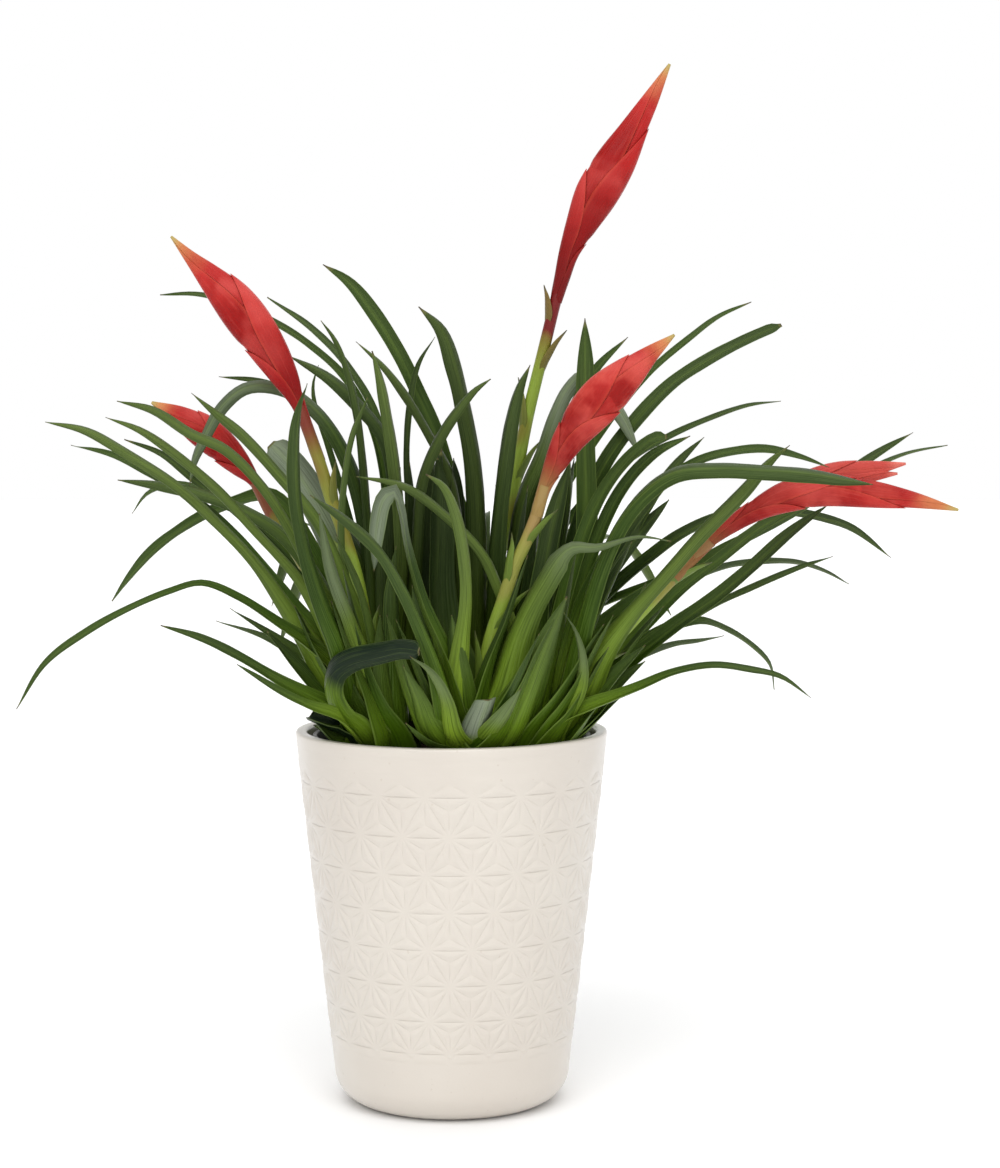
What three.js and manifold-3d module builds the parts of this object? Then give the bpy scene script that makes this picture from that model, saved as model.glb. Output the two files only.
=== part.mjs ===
// Flaming sword bromeliad: five leafy rosettes with their red flower spikes, potted together.
// Millimetres, +Z up. The origin is the middle of the pot's underside, and -Y is the front.

import * as THREE from 'three';
import * as BufferGeometryUtils from 'three/addons/utils/BufferGeometryUtils.js';
import Module from 'manifold-3d';

const wasm = await Module();
wasm.setup();

// ---------------------------------------------------------------- driving dimensions

const SEAT_GAP = 0.3;

// Cover pot: a tapered ceramic cylinder with a rounded foot.
const POT_HEIGHT = 162.5;
const FOOT_FLAT_RADIUS = 36;
const FOOT_ROUNDING = 15;
const WALL_BASE_RADIUS = 51.3;
const WALL_TOP_RADIUS = 66.6;
const WALL_TOP_Z = 152;
const RIM_RADIUS = 67.5;
const RIM_LIP_Z = 157;
const MOUTH_RADIUS = 62.5;
const POT_WALL = 5;
const POT_FLOOR = 6;
const FOOT_THICKENING = 3;
const FLOOR_FILLET = 2;
const RIM_CHAMFER = 1.5;
const POT_SIDES = 40;
const FOOT_TURNS = [Math.PI / 6, Math.PI / 3, Math.PI / 2];

// Star relief: rows of star centres, every second row moved round by half a step.
const STAR_ROWS = [31.5, 45.7, 61.1, 76.6, 92.5, 108.6, 124.8, 141.8];
const STAR_HEIGHT = 0.7;

// Nursery pot inside the cover pot, and the soil in it.
const GROW_POT_WALL = 1.2;
const GROW_POT_BASE_RADIUS = 38;
const GROW_POT_TOP_RADIUS = 59.6;
const GROW_POT_RIM_Z = 163.5;
const GROW_POT_LIP = 0.8;
const GROW_POT_LIP_HEIGHT = 5;
const ROUND_SIDES = 24;
const SOIL_TOP_Z = 147;
const SOIL_CROWN = 1.5;

// Each rosette's stem stands in a plain hole in the soil, and its scape in a bore in the stem.
const STEM_RADIUS = 11;
const STEM_FOOT_Z = 126;
const STEM_SHOULDER_Z = 150;
const STEM_TIP_Z = 159;
const STEM_TIP_RADIUS = 6.5;
const STEM_SIDES = 12;
const SCAPE_BORE_RADIUS = 3.9;
const SCAPE_BORE_FLOOR = 134;
const SCAPE_BORE_TOP = 172;
const SCAPE_STRAIGHT = [150, 162];

// Leaf blades: a shallow gutter, thickest along the keel.
const BLADE_THICKNESS = 1.1;
const TIP_THINNING = 0.55;
const GUTTER_DEPTH = 0.15;
const BLADE_STRAIGHT_STEP = 80;
const BLADE_BEND_STEP = 30;
const BLADE_STEPS = [3, 7];
const ROOT_RADIUS = 6.6;
const ROOT_OFFSET = 10;
const ROOT_Z = 138;
const COLLAR_SPREAD = 0.8;
const COLLAR_RISE = 3;

// Outline of a blade: narrower where it clasps the stem, then full, then drawn out to its tip.
const BASE_SHARE = 0.6;
const BASE_RUN = 0.2;
const POINT_FROM = 0.35;
const POINT_POWER = 1.6;
const TIP_SHARE = 0.12;
const BLUNT_FROM = 0.6;
const BLUNT_SHARE = 0.5;

// Flower spikes.
const SCAPE_FOOT_RADIUS = 3.4;
const SCAPE_NECK_RADIUS = 2.5;
const SCAPE_SIDES = 6;
const SCAPE_STEP = 26;
const NECK_GAP = 0.35;
const SHEATH_THICKNESS = 1.2;
const SPIKE_THICKNESS = 0.62;
const CORE_SHARE = 0.7;
const BRACT_FACE = 0.1;
const BRACT_BACK = 0.3;

// ---------------------------------------------------------------- the drawing of the plant

// Leaves and spikes are drawn in elevation: [x, z] is where a point lines up with the upright
// plane through the pot's axis for an eye at EYE, and each stands at its own depth (y) behind or
// in front of that plane. standing() gives the real place.
const EYE = new THREE.Vector3(21, -1200, 315);

function standing(x, z, y) {
  const reach = (y - EYE.y) / -EYE.y;
  return new THREE.Vector3(x, 0, z).sub(EYE).multiplyScalar(reach).add(EYE);
}

// A drawn leaf: depth of its tip, blade width, roll (degrees that its face is turned to the front),
// then its points from base to tip. A blunt one ends broad, as a broken or dried tip does.
const leaf = (depth, width, roll, ...points) => ({ depth, width, roll, points });
const blunt = (depth, width, roll, ...points) => ({ depth, width, roll, points, blunt: true });

// A leaf that nobody sees from the front: its heading (degrees from +X), how far it reaches, how
// high it rises above the soil, how far its tip hangs below that, and its blade width.
const spread = (heading, reach, rise, droop, width) => ({ heading, reach, rise, droop, width });

const ROSETTES = {
  front: {
    place: [8, -32],
    leaves: [
      leaf(-70, 11, 55, [6, 166], [7, 200], [8, 220], [6.5, 240], [3, 256], [-3, 268], [-11, 273]),
      leaf(-116, 10, 50, [0, 172], [-5, 188], [-12, 205], [-20, 222], [-31, 240], [-45, 253], [-61, 264]),
      leaf(-87, 11, 30, [-2, 190], [-5, 225], [-9, 252], [-16, 265], [-24, 268], [-31, 262],
        [-34.5, 248], [-33, 231]),
      leaf(-76, 10, 55, [-1, 160], [-4, 175], [-10, 187], [-18, 194]),
      blunt(-66, 11, 0, [11, 158], [13, 166], [16, 175]),
      leaf(-66, 8, 40, [21, 162], [27, 169], [33, 179]),
      leaf(-60, 13, 20, [14, 169], [19, 178], [28, 204], [39, 225], [51, 242], [63, 241.5], [81, 246],
        [95, 244]),
      leaf(-70, 12, 45, [-10, 160], [-15, 175], [-21, 190]),
    ],
    hidden: [],
  },
  left: {
    place: [-33, -18],
    leaves: [
      leaf(-55, 9, 45, [-48, 182], [-62, 198], [-75, 207.5], [-92, 219], [-108, 225.5], [-122, 222],
        [-140, 214.5], [-158, 204.5], [-176, 191], [-189, 171]),
      leaf(-68, 8, 40, [-48, 167], [-57, 173], [-75, 183], [-92, 193.5], [-108, 201.5], [-126, 207.5]),
      leaf(-86, 7, 20, [-48, 167], [-62, 172.5], [-75, 179], [-93, 190.5]),
      leaf(-11, 9, 50, [-46, 180], [-60, 191], [-78, 203], [-96, 215]),
      leaf(22, 7, 40, [-50, 179], [-66, 192], [-80, 201.5], [-102, 209.5]),
      leaf(-33, 11, 65, [-45, 175], [-58, 196], [-70, 214], [-84, 234], [-100, 251], [-118, 267.5],
        [-140, 282], [-158, 292], [-175, 295.5]),
      leaf(22, 9, 50, [-46, 185], [-70, 218], [-92, 245], [-112, 263], [-128, 271.5], [-146, 281],
        [-164, 285.5]),
      leaf(-66, 11, 65, [-40, 180], [-52, 205], [-66, 228], [-84, 248], [-100, 265.5], [-118, 281],
        [-134, 292], [-149, 297.5]),
      leaf(-88, 10, 65, [-38, 185], [-50, 212], [-66, 243], [-80, 266], [-97, 283.5], [-112, 290.5],
        [-128, 300.5], [-144, 304.5]),
      leaf(-44, 10, 65, [-34, 190], [-45, 225], [-58, 253], [-74, 272.5], [-90, 290], [-101, 299],
        [-112, 308]),
      leaf(-106, 11, 65, [-44, 190], [-54, 214], [-62, 238], [-66.5, 262], [-67, 285], [-65.5, 300],
        [-62, 312]),
      blunt(-66, 12, 20, [-44, 166], [-51, 171], [-55, 179], [-53, 188], [-45, 194], [-33, 198],
        [-22, 200.5], [-13, 199]),
      leaf(-55, 8, 40, [-30, 185], [-34, 205], [-40, 226], [-50, 247]),
      leaf(-71, 9, 55, [-34, 185], [-42, 207], [-50, 228], [-57, 256]),
      leaf(-27, 6, 55, [-40, 200], [-48, 240], [-47, 268], [-43, 290], [-36, 306]),
    ],
    hidden: [],
  },
  left_back: {
    place: [-28, 20],
    leaves: [
      leaf(86, 9, 20, [-45, 200], [-62, 240], [-78, 262.5], [-95, 259.5], [-112, 251.5], [-128, 240],
        [-140, 227], [-147, 218]),
      leaf(68, 7, 15, [-42, 190], [-60, 225], [-82, 250], [-103, 264], [-120, 268], [-131, 264.5],
        [-138, 256]),
      leaf(1, 11, 65, [-42, 195], [-58, 228], [-73, 247], [-90, 257.5], [-108, 264.5], [-128, 268.5],
        [-144, 270.5]),
      leaf(10, 7, 30, [-45, 200], [-70, 233], [-95, 258], [-112, 271], [-125, 281.5], [-141, 288]),
      leaf(68, 8, 20, [-27, 230], [-32, 285], [-45, 313], [-62, 329], [-77, 338.5], [-93, 346],
        [-109, 350], [-125, 350]),
      leaf(96, 7, 40, [-26, 240], [-32, 295], [-45, 319], [-60, 335], [-79, 349]),
      leaf(39, 7, 30, [-30, 200], [-36, 240], [-48, 280], [-62, 303], [-80, 312], [-100, 315]),
      leaf(5, 12, 30, [-32, 220], [-36, 250], [-44, 278], [-57, 299], [-72, 309.5], [-88, 310.5],
        [-99, 302], [-106, 290], [-111, 279], [-113, 268]),
      blunt(4, 10, 20, [-38, 220], [-50, 255], [-60, 277], [-69, 289], [-78, 288], [-77, 278]),
      leaf(10, 10, 55, [-22, 240], [-28, 287], [-40, 303], [-53, 315], [-70, 324]),
      leaf(1, 7, 55, [-34, 230], [-38, 280], [-40.5, 300], [-45, 319], [-50, 331], [-56, 339]),
      leaf(58, 4.5, 40, [-40, 235], [-53, 284], [-59, 303], [-59.5, 312], [-57, 320]),
      leaf(-28, 9, 65, [-20, 235], [-23, 270], [-26, 292], [-30, 313], [-34, 326]),
      leaf(54, 4.5, 40, [-18, 250], [-19, 283], [-17.5, 303], [-14, 320], [-7, 332]),
      leaf(16, 13, 60, [-19, 195], [-15, 232], [-9, 262], [-4, 284]),
      leaf(-22, 8, 65, [-16, 240], [-13, 270], [-5, 289], [3, 301], [10, 309], [17, 314]),
    ],
    hidden: [spread(104, 120, 95, 35, 9), spread(116, 130, 80, 40, 9), spread(111, 80, 60, 15, 8),
      spread(124, 105, 100, 40, 9)],
  },
  back: {
    place: [12, 32],
    leaves: [
      leaf(62, 11.5, 65, [8, 230], [-3, 275], [-8, 292], [-14, 306], [-22, 323], [-33, 341], [-44, 355],
        [-55, 363]),
      leaf(20, 7, 20, [5, 240], [0, 272], [-8, 288], [-20, 308], [-30, 320.5], [-41, 330]),
      leaf(13, 11, 65, [12, 220], [12, 250], [10, 278], [6.5, 298], [2, 318], [-4, 335], [-14, 345]),
      leaf(-14, 10.5, 65, [17, 225], [19, 250], [22, 274], [25, 295], [29, 310], [34, 320]),
      leaf(19, 8, 65, [30, 200], [46, 235], [51, 262], [51, 285]),
      leaf(17, 13, 60, [3, 190], [-2, 222], [-6, 250], [-8, 270]),
      leaf(47, 8, 55, [24, 220], [38, 265], [50, 295], [62, 317], [76, 332]),
      leaf(85, 8, 30, [26, 210], [45, 258], [65, 291], [85, 316], [103, 331.5], [115, 340.5],
        [129, 347]),
      leaf(18, 12, 20, [24, 225], [30, 262], [38, 281], [44, 298], [50, 310], [57, 316], [66, 308],
        [74, 298], [81, 282]),
      leaf(66, 7, 30, [30, 215], [55, 258], [76, 278], [95, 289.5], [112, 297], [128, 302.5],
        [142, 304.5]),
      leaf(57, 8, 65, [32, 190], [60, 218], [72, 236], [84, 256], [95, 274]),
      leaf(57, 11, 45, [40, 190], [70, 222], [86, 236], [100, 246.5], [116, 254], [132, 257], [147, 256],
        [160, 253.5], [173, 249], [190, 237]),
      leaf(62, 5, 30, [38, 200], [110, 235], [150, 262], [180, 275], [197, 282], [214, 285.5]),
    ],
    hidden: [spread(52, 150, 92, 40, 9), spread(66, 120, 100, 30, 10), spread(81, 150, 80, 45, 9),
      spread(94, 125, 98, 35, 10), spread(59, 90, 65, 15, 9), spread(75, 75, 60, 15, 9),
      spread(88, 60, 105, 8, 10)],
  },
  right: {
    place: [38, -13],
    leaves: [
      leaf(-26, 8.5, 50, [36, 180], [28, 207], [21, 224], [14, 238.5], [1.5, 252], [-20, 268], [-41, 272]),
      leaf(16, 11, 65, [44, 180], [52, 202], [57, 225], [58, 250], [57.5, 290], [57.5, 318], [57.5, 340]),
      blunt(38, 10, 65, [48, 215], [57, 255], [67, 278], [80, 296], [95, 311.5], [110, 321.5], [126, 330],
        [142, 337]),
      blunt(-6, 9, 65, [46, 200], [54, 235], [64, 262], [76, 279], [88, 288.5], [93, 289]),
      leaf(-2, 8, 55, [52, 205], [62, 240], [74, 266], [88, 281.5], [103, 289.5]),
      leaf(49, 8, 65, [56, 210], [74, 245], [90, 267], [99, 279], [109, 289]),
      leaf(-83, 12, 45, [54, 205], [66, 240], [80, 262], [96, 273.5], [115, 275.5], [135, 274.5],
        [155, 273], [170, 270.5], [182, 268.5]),
      leaf(-57, 6, 20, [57, 216], [85, 262], [106, 278], [122, 282.5], [136, 283.5], [150, 280.5],
        [163, 276]),
      leaf(-58, 15, 65, [48, 168], [60, 190], [77, 212], [91, 227.5], [108, 247], [126, 265.5],
        [138, 279], [146, 285.5]),
      leaf(45, 8, 55, [60, 200], [110, 235], [150, 257], [180, 279], [199, 291]),
      leaf(5, 10.5, 65, [50, 163], [62, 177], [78, 191.5], [96, 206], [114, 219], [130, 232.5],
        [146, 247], [163, 260]),
      leaf(20, 10, 65, [52, 175], [66, 190], [82, 205], [99, 222.5], [116, 236], [134, 250], [153, 260]),
      leaf(42, 7, 50, [58, 172], [75, 188], [92, 202], [111, 214.5], [131, 224], [151, 232.5],
        [165, 237.5]),
      leaf(82, 8, 40, [56, 180], [75, 203], [95, 222], [116, 232], [131, 234.5], [149, 234.5],
        [161, 231], [172, 225.5]),
      leaf(64, 9, 30, [54, 175], [68, 190], [85, 201.5], [98, 207.5], [109, 209], [120, 205],
        [130, 198.5], [138, 190], [140, 179.5]),
      leaf(71, 6, 40, [60, 175], [78, 191], [95, 198.5], [107, 200.5], [118, 203]),
      leaf(-67, 8, 40, [50, 166], [59, 171], [70, 175.5], [82, 180.5], [97, 187], [114, 190], [130, 188],
        [143, 185], [156, 176]),
      leaf(7, 13, 60, [37, 185], [39, 220], [44, 250], [51, 278]),
      leaf(60, 12, 55, [46, 182], [60, 215], [76, 240], [94, 262]),
      leaf(-52, 9, 55, [43, 162], [49, 171], [55, 181], [56, 194], [53, 206], [48, 214]),
    ],
    hidden: [],
  },
};

// Flower spikes, one out of each rosette: the stalk (scape) drawn from the rosette up to the neck,
// and the flattened sword above it with its half width at each point of its middle line. depth is
// the neck's and the tip's.
// sheaths are the stalk's pointed bracts: [share of the stalk, length, side, how far it stands off].
const SPIKES = {
  back: {
    depth: [36, 40],
    scape: [[14, 200], [20, 235], [26, 262], [32.7, 297], [38.7, 322], [44.8, 347]],
    sheaths: [[0.3, 26, 1, 5], [0.45, 30, -1, 5], [0.58, 24, 1, 5], [0.68, 26, -1, 5], [0.8, 24, 1, 5],
      [0.9, 18, -1, 4]],
    sword: [[47.5, 357, 3.4], [50.5, 368, 4.4], [56, 380, 6.6], [62.5, 393, 8.6], [70, 406, 8.4],
      [78, 420, 6.2], [85.5, 433, 3.8], [93.5, 448, 0.6]],
    bracts: 7,
  },
  left: {
    depth: [-5, 0],
    scape: [[-35, 190], [-41, 228], [-47.8, 251], [-52.1, 262.7], [-56.9, 278.3]],
    sheaths: [[0.35, 22, 1, 4], [0.55, 22, -1, 4], [0.72, 22, 1, 4]],
    sword: [[-65.4, 302, 2.9], [-71, 314, 6], [-79, 327.5, 8.4], [-88, 340, 9.8], [-96, 350, 8.6],
      [-104, 358.5, 6.2], [-112, 366.5, 3.4], [-120, 375, 0.6]],
    bracts: 7,
  },
  left_back: {
    depth: [27, 30],
    scape: [[-38, 178], [-50, 205], [-64, 234], [-76.4, 253]],
    sheaths: [[0.4, 22, -1, 4], [0.65, 22, 1, 4]],
    sword: [[-84.6, 269.5, 2.6], [-90.5, 276.5, 5], [-98.5, 284.5, 7], [-107, 291.5, 7.4],
      [-117, 298, 5], [-129, 304, 0.6]],
    bracts: 6,
  },
  front: {
    depth: [-34, -38],
    scape: [[14.5, 190], [17, 202], [21.9, 217], [28.4, 236], [31, 241], [36.6, 255]],
    sheaths: [[0.35, 24, -1, 4], [0.5, 28, 1, 7], [0.66, 24, -1, 4], [0.8, 20, 1, 5]],
    sword: [[40.4, 268, 2.8], [45.5, 278, 5], [51.5, 288, 7.4], [58.5, 298, 9.2], [66.5, 307, 9.6],
      [76, 315.5, 8], [86, 324.5, 4.6], [96, 333, 0.6]],
    bracts: 7,
  },
  right: {
    depth: [-20, -24],
    scape: [[50, 178], [65, 195], [81.6, 213], [96.3, 228.5]],
    sheaths: [[0.4, 24, 1, 4], [0.6, 24, -1, 4], [0.8, 22, 1, 4]],
    sword: [[112, 244, 2.8], [122, 251.5, 4.6], [133, 258.5, 6.6], [146, 264, 7.6], [161, 266, 7.2],
      [179, 264.8, 6.2], [199, 261.8, 3.6], [219, 257.5, 0.6]],
    bracts: 8,
    side: {
      depth: [-19, -8],
      sword: [[136, 260, 2.6], [148, 267, 4.8], [162, 272, 5.4], [177, 274.8, 4.6], [195, 277, 0.6]],
      bracts: 5,
    },
  },
};

// ---------------------------------------------------------------- materials

const colour = (hex, roughness) => new THREE.MeshStandardMaterial({ color: hex, roughness, metalness: 0 });
const GLAZE = colour(0xe7dfd5, 0.35);
const BLACK_PLASTIC = colour(0x2b2d2c, 0.55);
const SOIL = colour(0x2a2018, 0.95);
const LEAF_GREEN = colour(0x3d6420, 0.38);
const STALK_GREEN = colour(0x8a9a3c, 0.45);
const SWORD_RED = colour(0xc2302a, 0.4);

// ---------------------------------------------------------------- solids

// Any closed geometry as a solid: shared corners merged, flat scraps dropped, faces outward.
function solidOf(geometry) {
  const bare = geometry.clone();
  bare.deleteAttribute('normal');
  bare.deleteAttribute('uv');
  const merged = BufferGeometryUtils.mergeVertices(bare, 1e-4);
  const corners = merged.attributes.position.array;
  const kept = [];
  let volume = 0;
  for (let i = 0; i < merged.index.count; i += 3) {
    const [a, b, c] = [0, 1, 2].map((k) => merged.index.getX(i + k));
    if (a === b || b === c || c === a) continue;
    kept.push(a, b, c);
    const [p, q, r] = [a, b, c].map((k) => new THREE.Vector3().fromArray(corners, 3 * k));
    volume += p.dot(q.cross(r));
  }
  if (volume < 0) kept.reverse();
  return new wasm.Manifold(new wasm.Mesh({
    numProp: 3,
    vertProperties: new Float32Array(corners),
    triVerts: new Uint32Array(kept),
  }));
}

// Solids that touch, joined in one body, without the tiny scraps that joining can leave.
const MERGE_TOLERANCE = 0.03;

function whole(solids) {
  const bodies = wasm.Manifold.union(solids).simplify(MERGE_TOLERANCE).decompose();
  return bodies.reduce((largest, body) => (body.volume() > largest.volume() ? body : largest));
}

function meshOf(name, solid, material) {
  const { vertProperties, triVerts } = solid.getMesh();
  const geometry = new THREE.BufferGeometry();
  geometry.setAttribute('position', new THREE.BufferAttribute(vertProperties, 3));
  geometry.setIndex(new THREE.BufferAttribute(triVerts, 1));
  geometry.computeVertexNormals();
  const mesh = new THREE.Mesh(geometry, material);
  mesh.name = name;
  return mesh;
}

// A closed skin over rings of corners (each an array of as many vectors), flat at both ends. The
// two faces of a thin twisted blade are split into triangles alike, so that they don't cross.
function lofted(rings) {
  const sides = rings[0].length;
  const corners = rings.flat();
  const triangles = [];
  for (let k = 0; k + 1 < rings.length; k += 1) {
    for (let i = 0; i < sides; i += 1) {
      const a = k * sides + i;
      const b = k * sides + ((i + 1) % sides);
      if (2 * i < sides) triangles.push(a, b, b + sides, a, b + sides, a + sides);
      else triangles.push(a, b, a + sides, b, b + sides, a + sides);
    }
  }
  const last = (rings.length - 1) * sides;
  for (let i = 1; i + 1 < sides; i += 1) {
    triangles.push(0, i + 1, i, last, last + i, last + i + 1);
  }
  return skin(corners, triangles);
}

function skin(corners, triangles) {
  const geometry = new THREE.BufferGeometry().setFromPoints(corners);
  geometry.setIndex(triangles);
  return solidOf(geometry);
}

// A solid of revolution about the Z axis from [radius, z] points that start and end on the axis.
function revolved(profile, sides) {
  const outline = profile.map(([radius, z]) => new THREE.Vector2(radius, z));
  const geometry = new THREE.LatheGeometry(outline, sides);
  geometry.rotateX(Math.PI / 2);
  return solidOf(geometry);
}

function column(radius, bottom, top, sides, [x, y] = [0, 0]) {
  return revolved([[0, bottom], [radius, bottom], [radius, top], [0, top]], sides).translate([x, y, 0]);
}

// ---------------------------------------------------------------- pot

function wallRadius(z) {
  const share = (z - FOOT_ROUNDING) / (WALL_TOP_Z - FOOT_ROUNDING);
  return THREE.MathUtils.lerp(WALL_BASE_RADIUS, WALL_TOP_RADIUS, share);
}

const potPoint = (step, z, radius) => {
  const angle = -Math.PI / 2 + (2 * Math.PI * step) / POT_SIDES;
  return new THREE.Vector3(radius * Math.cos(angle), radius * Math.sin(angle), z);
};

// The pot's skin is built ring by ring, from the middle of the underside, up the outside, over
// the rim and down the inside to the middle of the floor. Between two star rows, each triangle
// of the star net is raised at its middle.
function coverPot() {
  const corners = [new THREE.Vector3(0, 0, 0)];
  const triangles = [];
  const ring = (z, radius) => {
    const start = corners.length;
    for (let i = 0; i < POT_SIDES; i += 1) corners.push(potPoint(i, z, radius));
    return (i) => start + ((i + POT_SIDES) % POT_SIDES);
  };
  const band = (low, high) => {
    for (let i = 0; i < POT_SIDES; i += 1) {
      triangles.push(low(i), low(i + 1), high(i + 1), low(i), high(i + 1), high(i));
    }
  };
  const raised = (step, z, rim) => {
    corners.push(potPoint(step, z, wallRadius(z) + STAR_HEIGHT));
    const peak = corners.length - 1;
    rim.forEach((corner, k) => triangles.push(corner, rim[(k + 1) % rim.length], peak));
  };

  const foot = ring(0, FOOT_FLAT_RADIUS);
  for (let i = 0; i < POT_SIDES; i += 1) triangles.push(0, foot(i + 1), foot(i));
  let below = foot;
  const footCentre = WALL_BASE_RADIUS - FOOT_ROUNDING;
  for (const angle of FOOT_TURNS) {
    const next = ring(FOOT_ROUNDING * (1 - Math.cos(angle)), footCentre + FOOT_ROUNDING * Math.sin(angle));
    band(below, next);
    below = next;
  }

  STAR_ROWS.forEach((z, row) => {
    const next = ring(z, wallRadius(z));
    if (row === 0) {
      band(below, next);
    } else {
      const lowZ = STAR_ROWS[row - 1];
      const shift = (row - 1) % 2;
      for (let i = shift; i < POT_SIDES + shift; i += 2) {
        raised(i + 1, (2 * lowZ + z) / 3, [below(i), below(i + 1), below(i + 2), next(i + 1)]);
        raised(i + 2, (lowZ + 2 * z) / 3, [below(i + 2), next(i + 3), next(i + 2), next(i + 1)]);
      }
    }
    below = next;
  });

  const innerBase = WALL_BASE_RADIUS - POT_WALL - FOOT_THICKENING;
  const rest = [
    [WALL_TOP_Z, WALL_TOP_RADIUS],
    [RIM_LIP_Z, RIM_RADIUS],
    [POT_HEIGHT - RIM_CHAMFER, RIM_RADIUS],
    [POT_HEIGHT, RIM_RADIUS - RIM_CHAMFER],
    [POT_HEIGHT, MOUTH_RADIUS],
    [RIM_LIP_Z, WALL_TOP_RADIUS - POT_WALL],
    [FOOT_ROUNDING, innerBase],
    [POT_FLOOR, innerBase - FLOOR_FILLET],
  ];
  for (const [z, radius] of rest) {
    const next = ring(z, radius);
    band(below, next);
    below = next;
  }
  corners.push(new THREE.Vector3(0, 0, POT_FLOOR));
  for (let i = 0; i < POT_SIDES; i += 1) triangles.push(below(i), below(i + 1), corners.length - 1);
  return skin(corners, triangles);
}

const GROW_POT_FOOT_Z = POT_FLOOR + SEAT_GAP;

// Outer radius of the nursery pot's wall at a height.
function growPotRadius(z) {
  const share = (z - GROW_POT_FOOT_Z) / (GROW_POT_RIM_Z - GROW_POT_FOOT_Z);
  return THREE.MathUtils.lerp(GROW_POT_BASE_RADIUS, GROW_POT_TOP_RADIUS, share);
}

function growPot() {
  const lipZ = GROW_POT_RIM_Z - GROW_POT_LIP_HEIGHT;
  const floorZ = GROW_POT_FOOT_Z + GROW_POT_WALL;
  return revolved([
    [0, GROW_POT_FOOT_Z],
    [GROW_POT_BASE_RADIUS, GROW_POT_FOOT_Z],
    [growPotRadius(lipZ), lipZ],
    [growPotRadius(lipZ) + GROW_POT_LIP, lipZ],
    [GROW_POT_TOP_RADIUS + GROW_POT_LIP, GROW_POT_RIM_Z],
    [GROW_POT_TOP_RADIUS - GROW_POT_WALL, GROW_POT_RIM_Z],
    [growPotRadius(floorZ) - GROW_POT_WALL, floorZ],
    [0, floorZ],
  ], ROUND_SIDES);
}

function pottingSoil() {
  const floorZ = GROW_POT_FOOT_Z + GROW_POT_WALL + SEAT_GAP;
  const side = (z) => growPotRadius(z) - GROW_POT_WALL - SEAT_GAP;
  const body = revolved([
    [0, floorZ],
    [side(floorZ), floorZ],
    [side(SOIL_TOP_Z), SOIL_TOP_Z],
    [0, SOIL_TOP_Z + SOIL_CROWN],
  ], ROUND_SIDES);
  const holes = Object.values(ROSETTES).map(({ place }) => (
    column(STEM_RADIUS + 1.5 * SEAT_GAP, STEM_FOOT_Z - SEAT_GAP, POT_HEIGHT, STEM_SIDES, place)
  ));
  return body.subtract(wasm.Manifold.union(holes));
}

// ---------------------------------------------------------------- leaves

// The leaf's middle line from inside the stem out to the tip.
function leafLine(place, spec) {
  const [cx, cy] = place;
  const middle = new THREE.Vector3(cx, cy, ROOT_Z);
  const drawn = spec.points ? drawnPoints(middle, spec, ROOT_OFFSET) : spreadPoints(middle, spec);
  const heading = Math.atan2(drawn[0].y - cy, drawn[0].x - cx);
  const out = new THREE.Vector3(Math.cos(heading), Math.sin(heading), 0);
  const root = middle.clone().addScaledVector(out, ROOT_RADIUS);
  const collar = root.clone().addScaledVector(out, COLLAR_SPREAD).setZ(SOIL_TOP_Z + COLLAR_RISE);
  const line = new THREE.CatmullRomCurve3([root, collar, ...drawn], false, 'centripetal');
  line.clasped = middle;
  return line;
}

// Depth runs evenly along the drawn line, from beside the stem's middle to the tip's depth.
function drawnPoints(middle, { points, depth }, beside = 0) {
  const from = middle.y + (depth < middle.y ? -beside : beside);
  const start = [middle.x, middle.z];
  const runs = [];
  let length = 0;
  points.forEach((point, i) => {
    const [x, z] = i ? points[i - 1] : start;
    length += Math.hypot(point[0] - x, point[1] - z);
    runs.push(length);
  });
  return points.map(([x, z], i) => (
    standing(x, z, THREE.MathUtils.lerp(from, depth, runs[i] / length))
  ));
}

const SPREAD_SHAPE = [[0.16, 0.45], [0.4, 0.82], [0.68, 1]];

function spreadPoints(middle, { heading, reach, rise, droop }) {
  const angle = THREE.MathUtils.degToRad(heading);
  const at = (out, up) => new THREE.Vector3(
    middle.x + reach * out * Math.cos(angle),
    middle.y + reach * out * Math.sin(angle),
    SOIL_TOP_Z + up,
  );
  return [...SPREAD_SHAPE.map(([out, up]) => at(out, up * rise)), at(1, rise - droop)];
}

// Blade width along the leaf, as a share of its full width.
function taper(u, isBlunt) {
  const base = THREE.MathUtils.lerp(BASE_SHARE, 1, Math.min(u / BASE_RUN, 1));
  if (isBlunt) {
    const end = Math.max(0, (u - BLUNT_FROM) / (1 - BLUNT_FROM));
    return base * THREE.MathUtils.lerp(1, BLUNT_SHARE, end);
  }
  const point = Math.max(0, (u - POINT_FROM) / (1 - POINT_FROM));
  return base * Math.max(TIP_SHARE, 1 - point ** POINT_POWER);
}

// The level direction across a leaf. A leaf that bends strongly is bent across its own plane.
const BEND_WEIGHT = 0.03;
const BEND_SAMPLES = 12;

function bladeAcross(line) {
  const foot = line.getPoint(0);
  const reach = line.getPoint(1).sub(foot).setZ(0).normalize();
  const level = new THREE.Vector3(0, 0, 1).cross(reach);
  const bend = new THREE.Vector3();
  const samples = line.getSpacedPoints(BEND_SAMPLES).map((point) => point.sub(foot));
  samples.forEach((point, i) => i && bend.add(samples[i - 1].clone().cross(point)));
  if (bend.dot(level) < 0) bend.negate();
  return bend.addScaledVector(level, BEND_WEIGHT * line.getLength() ** 2).normalize();
}

// The blade clasps the stem at its foot and turns to its own lie and roll further up, the shorter
// way round. lie gives its side at any share u of its length.
const CLASP_RELEASE = [0.02, 0.25];

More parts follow.
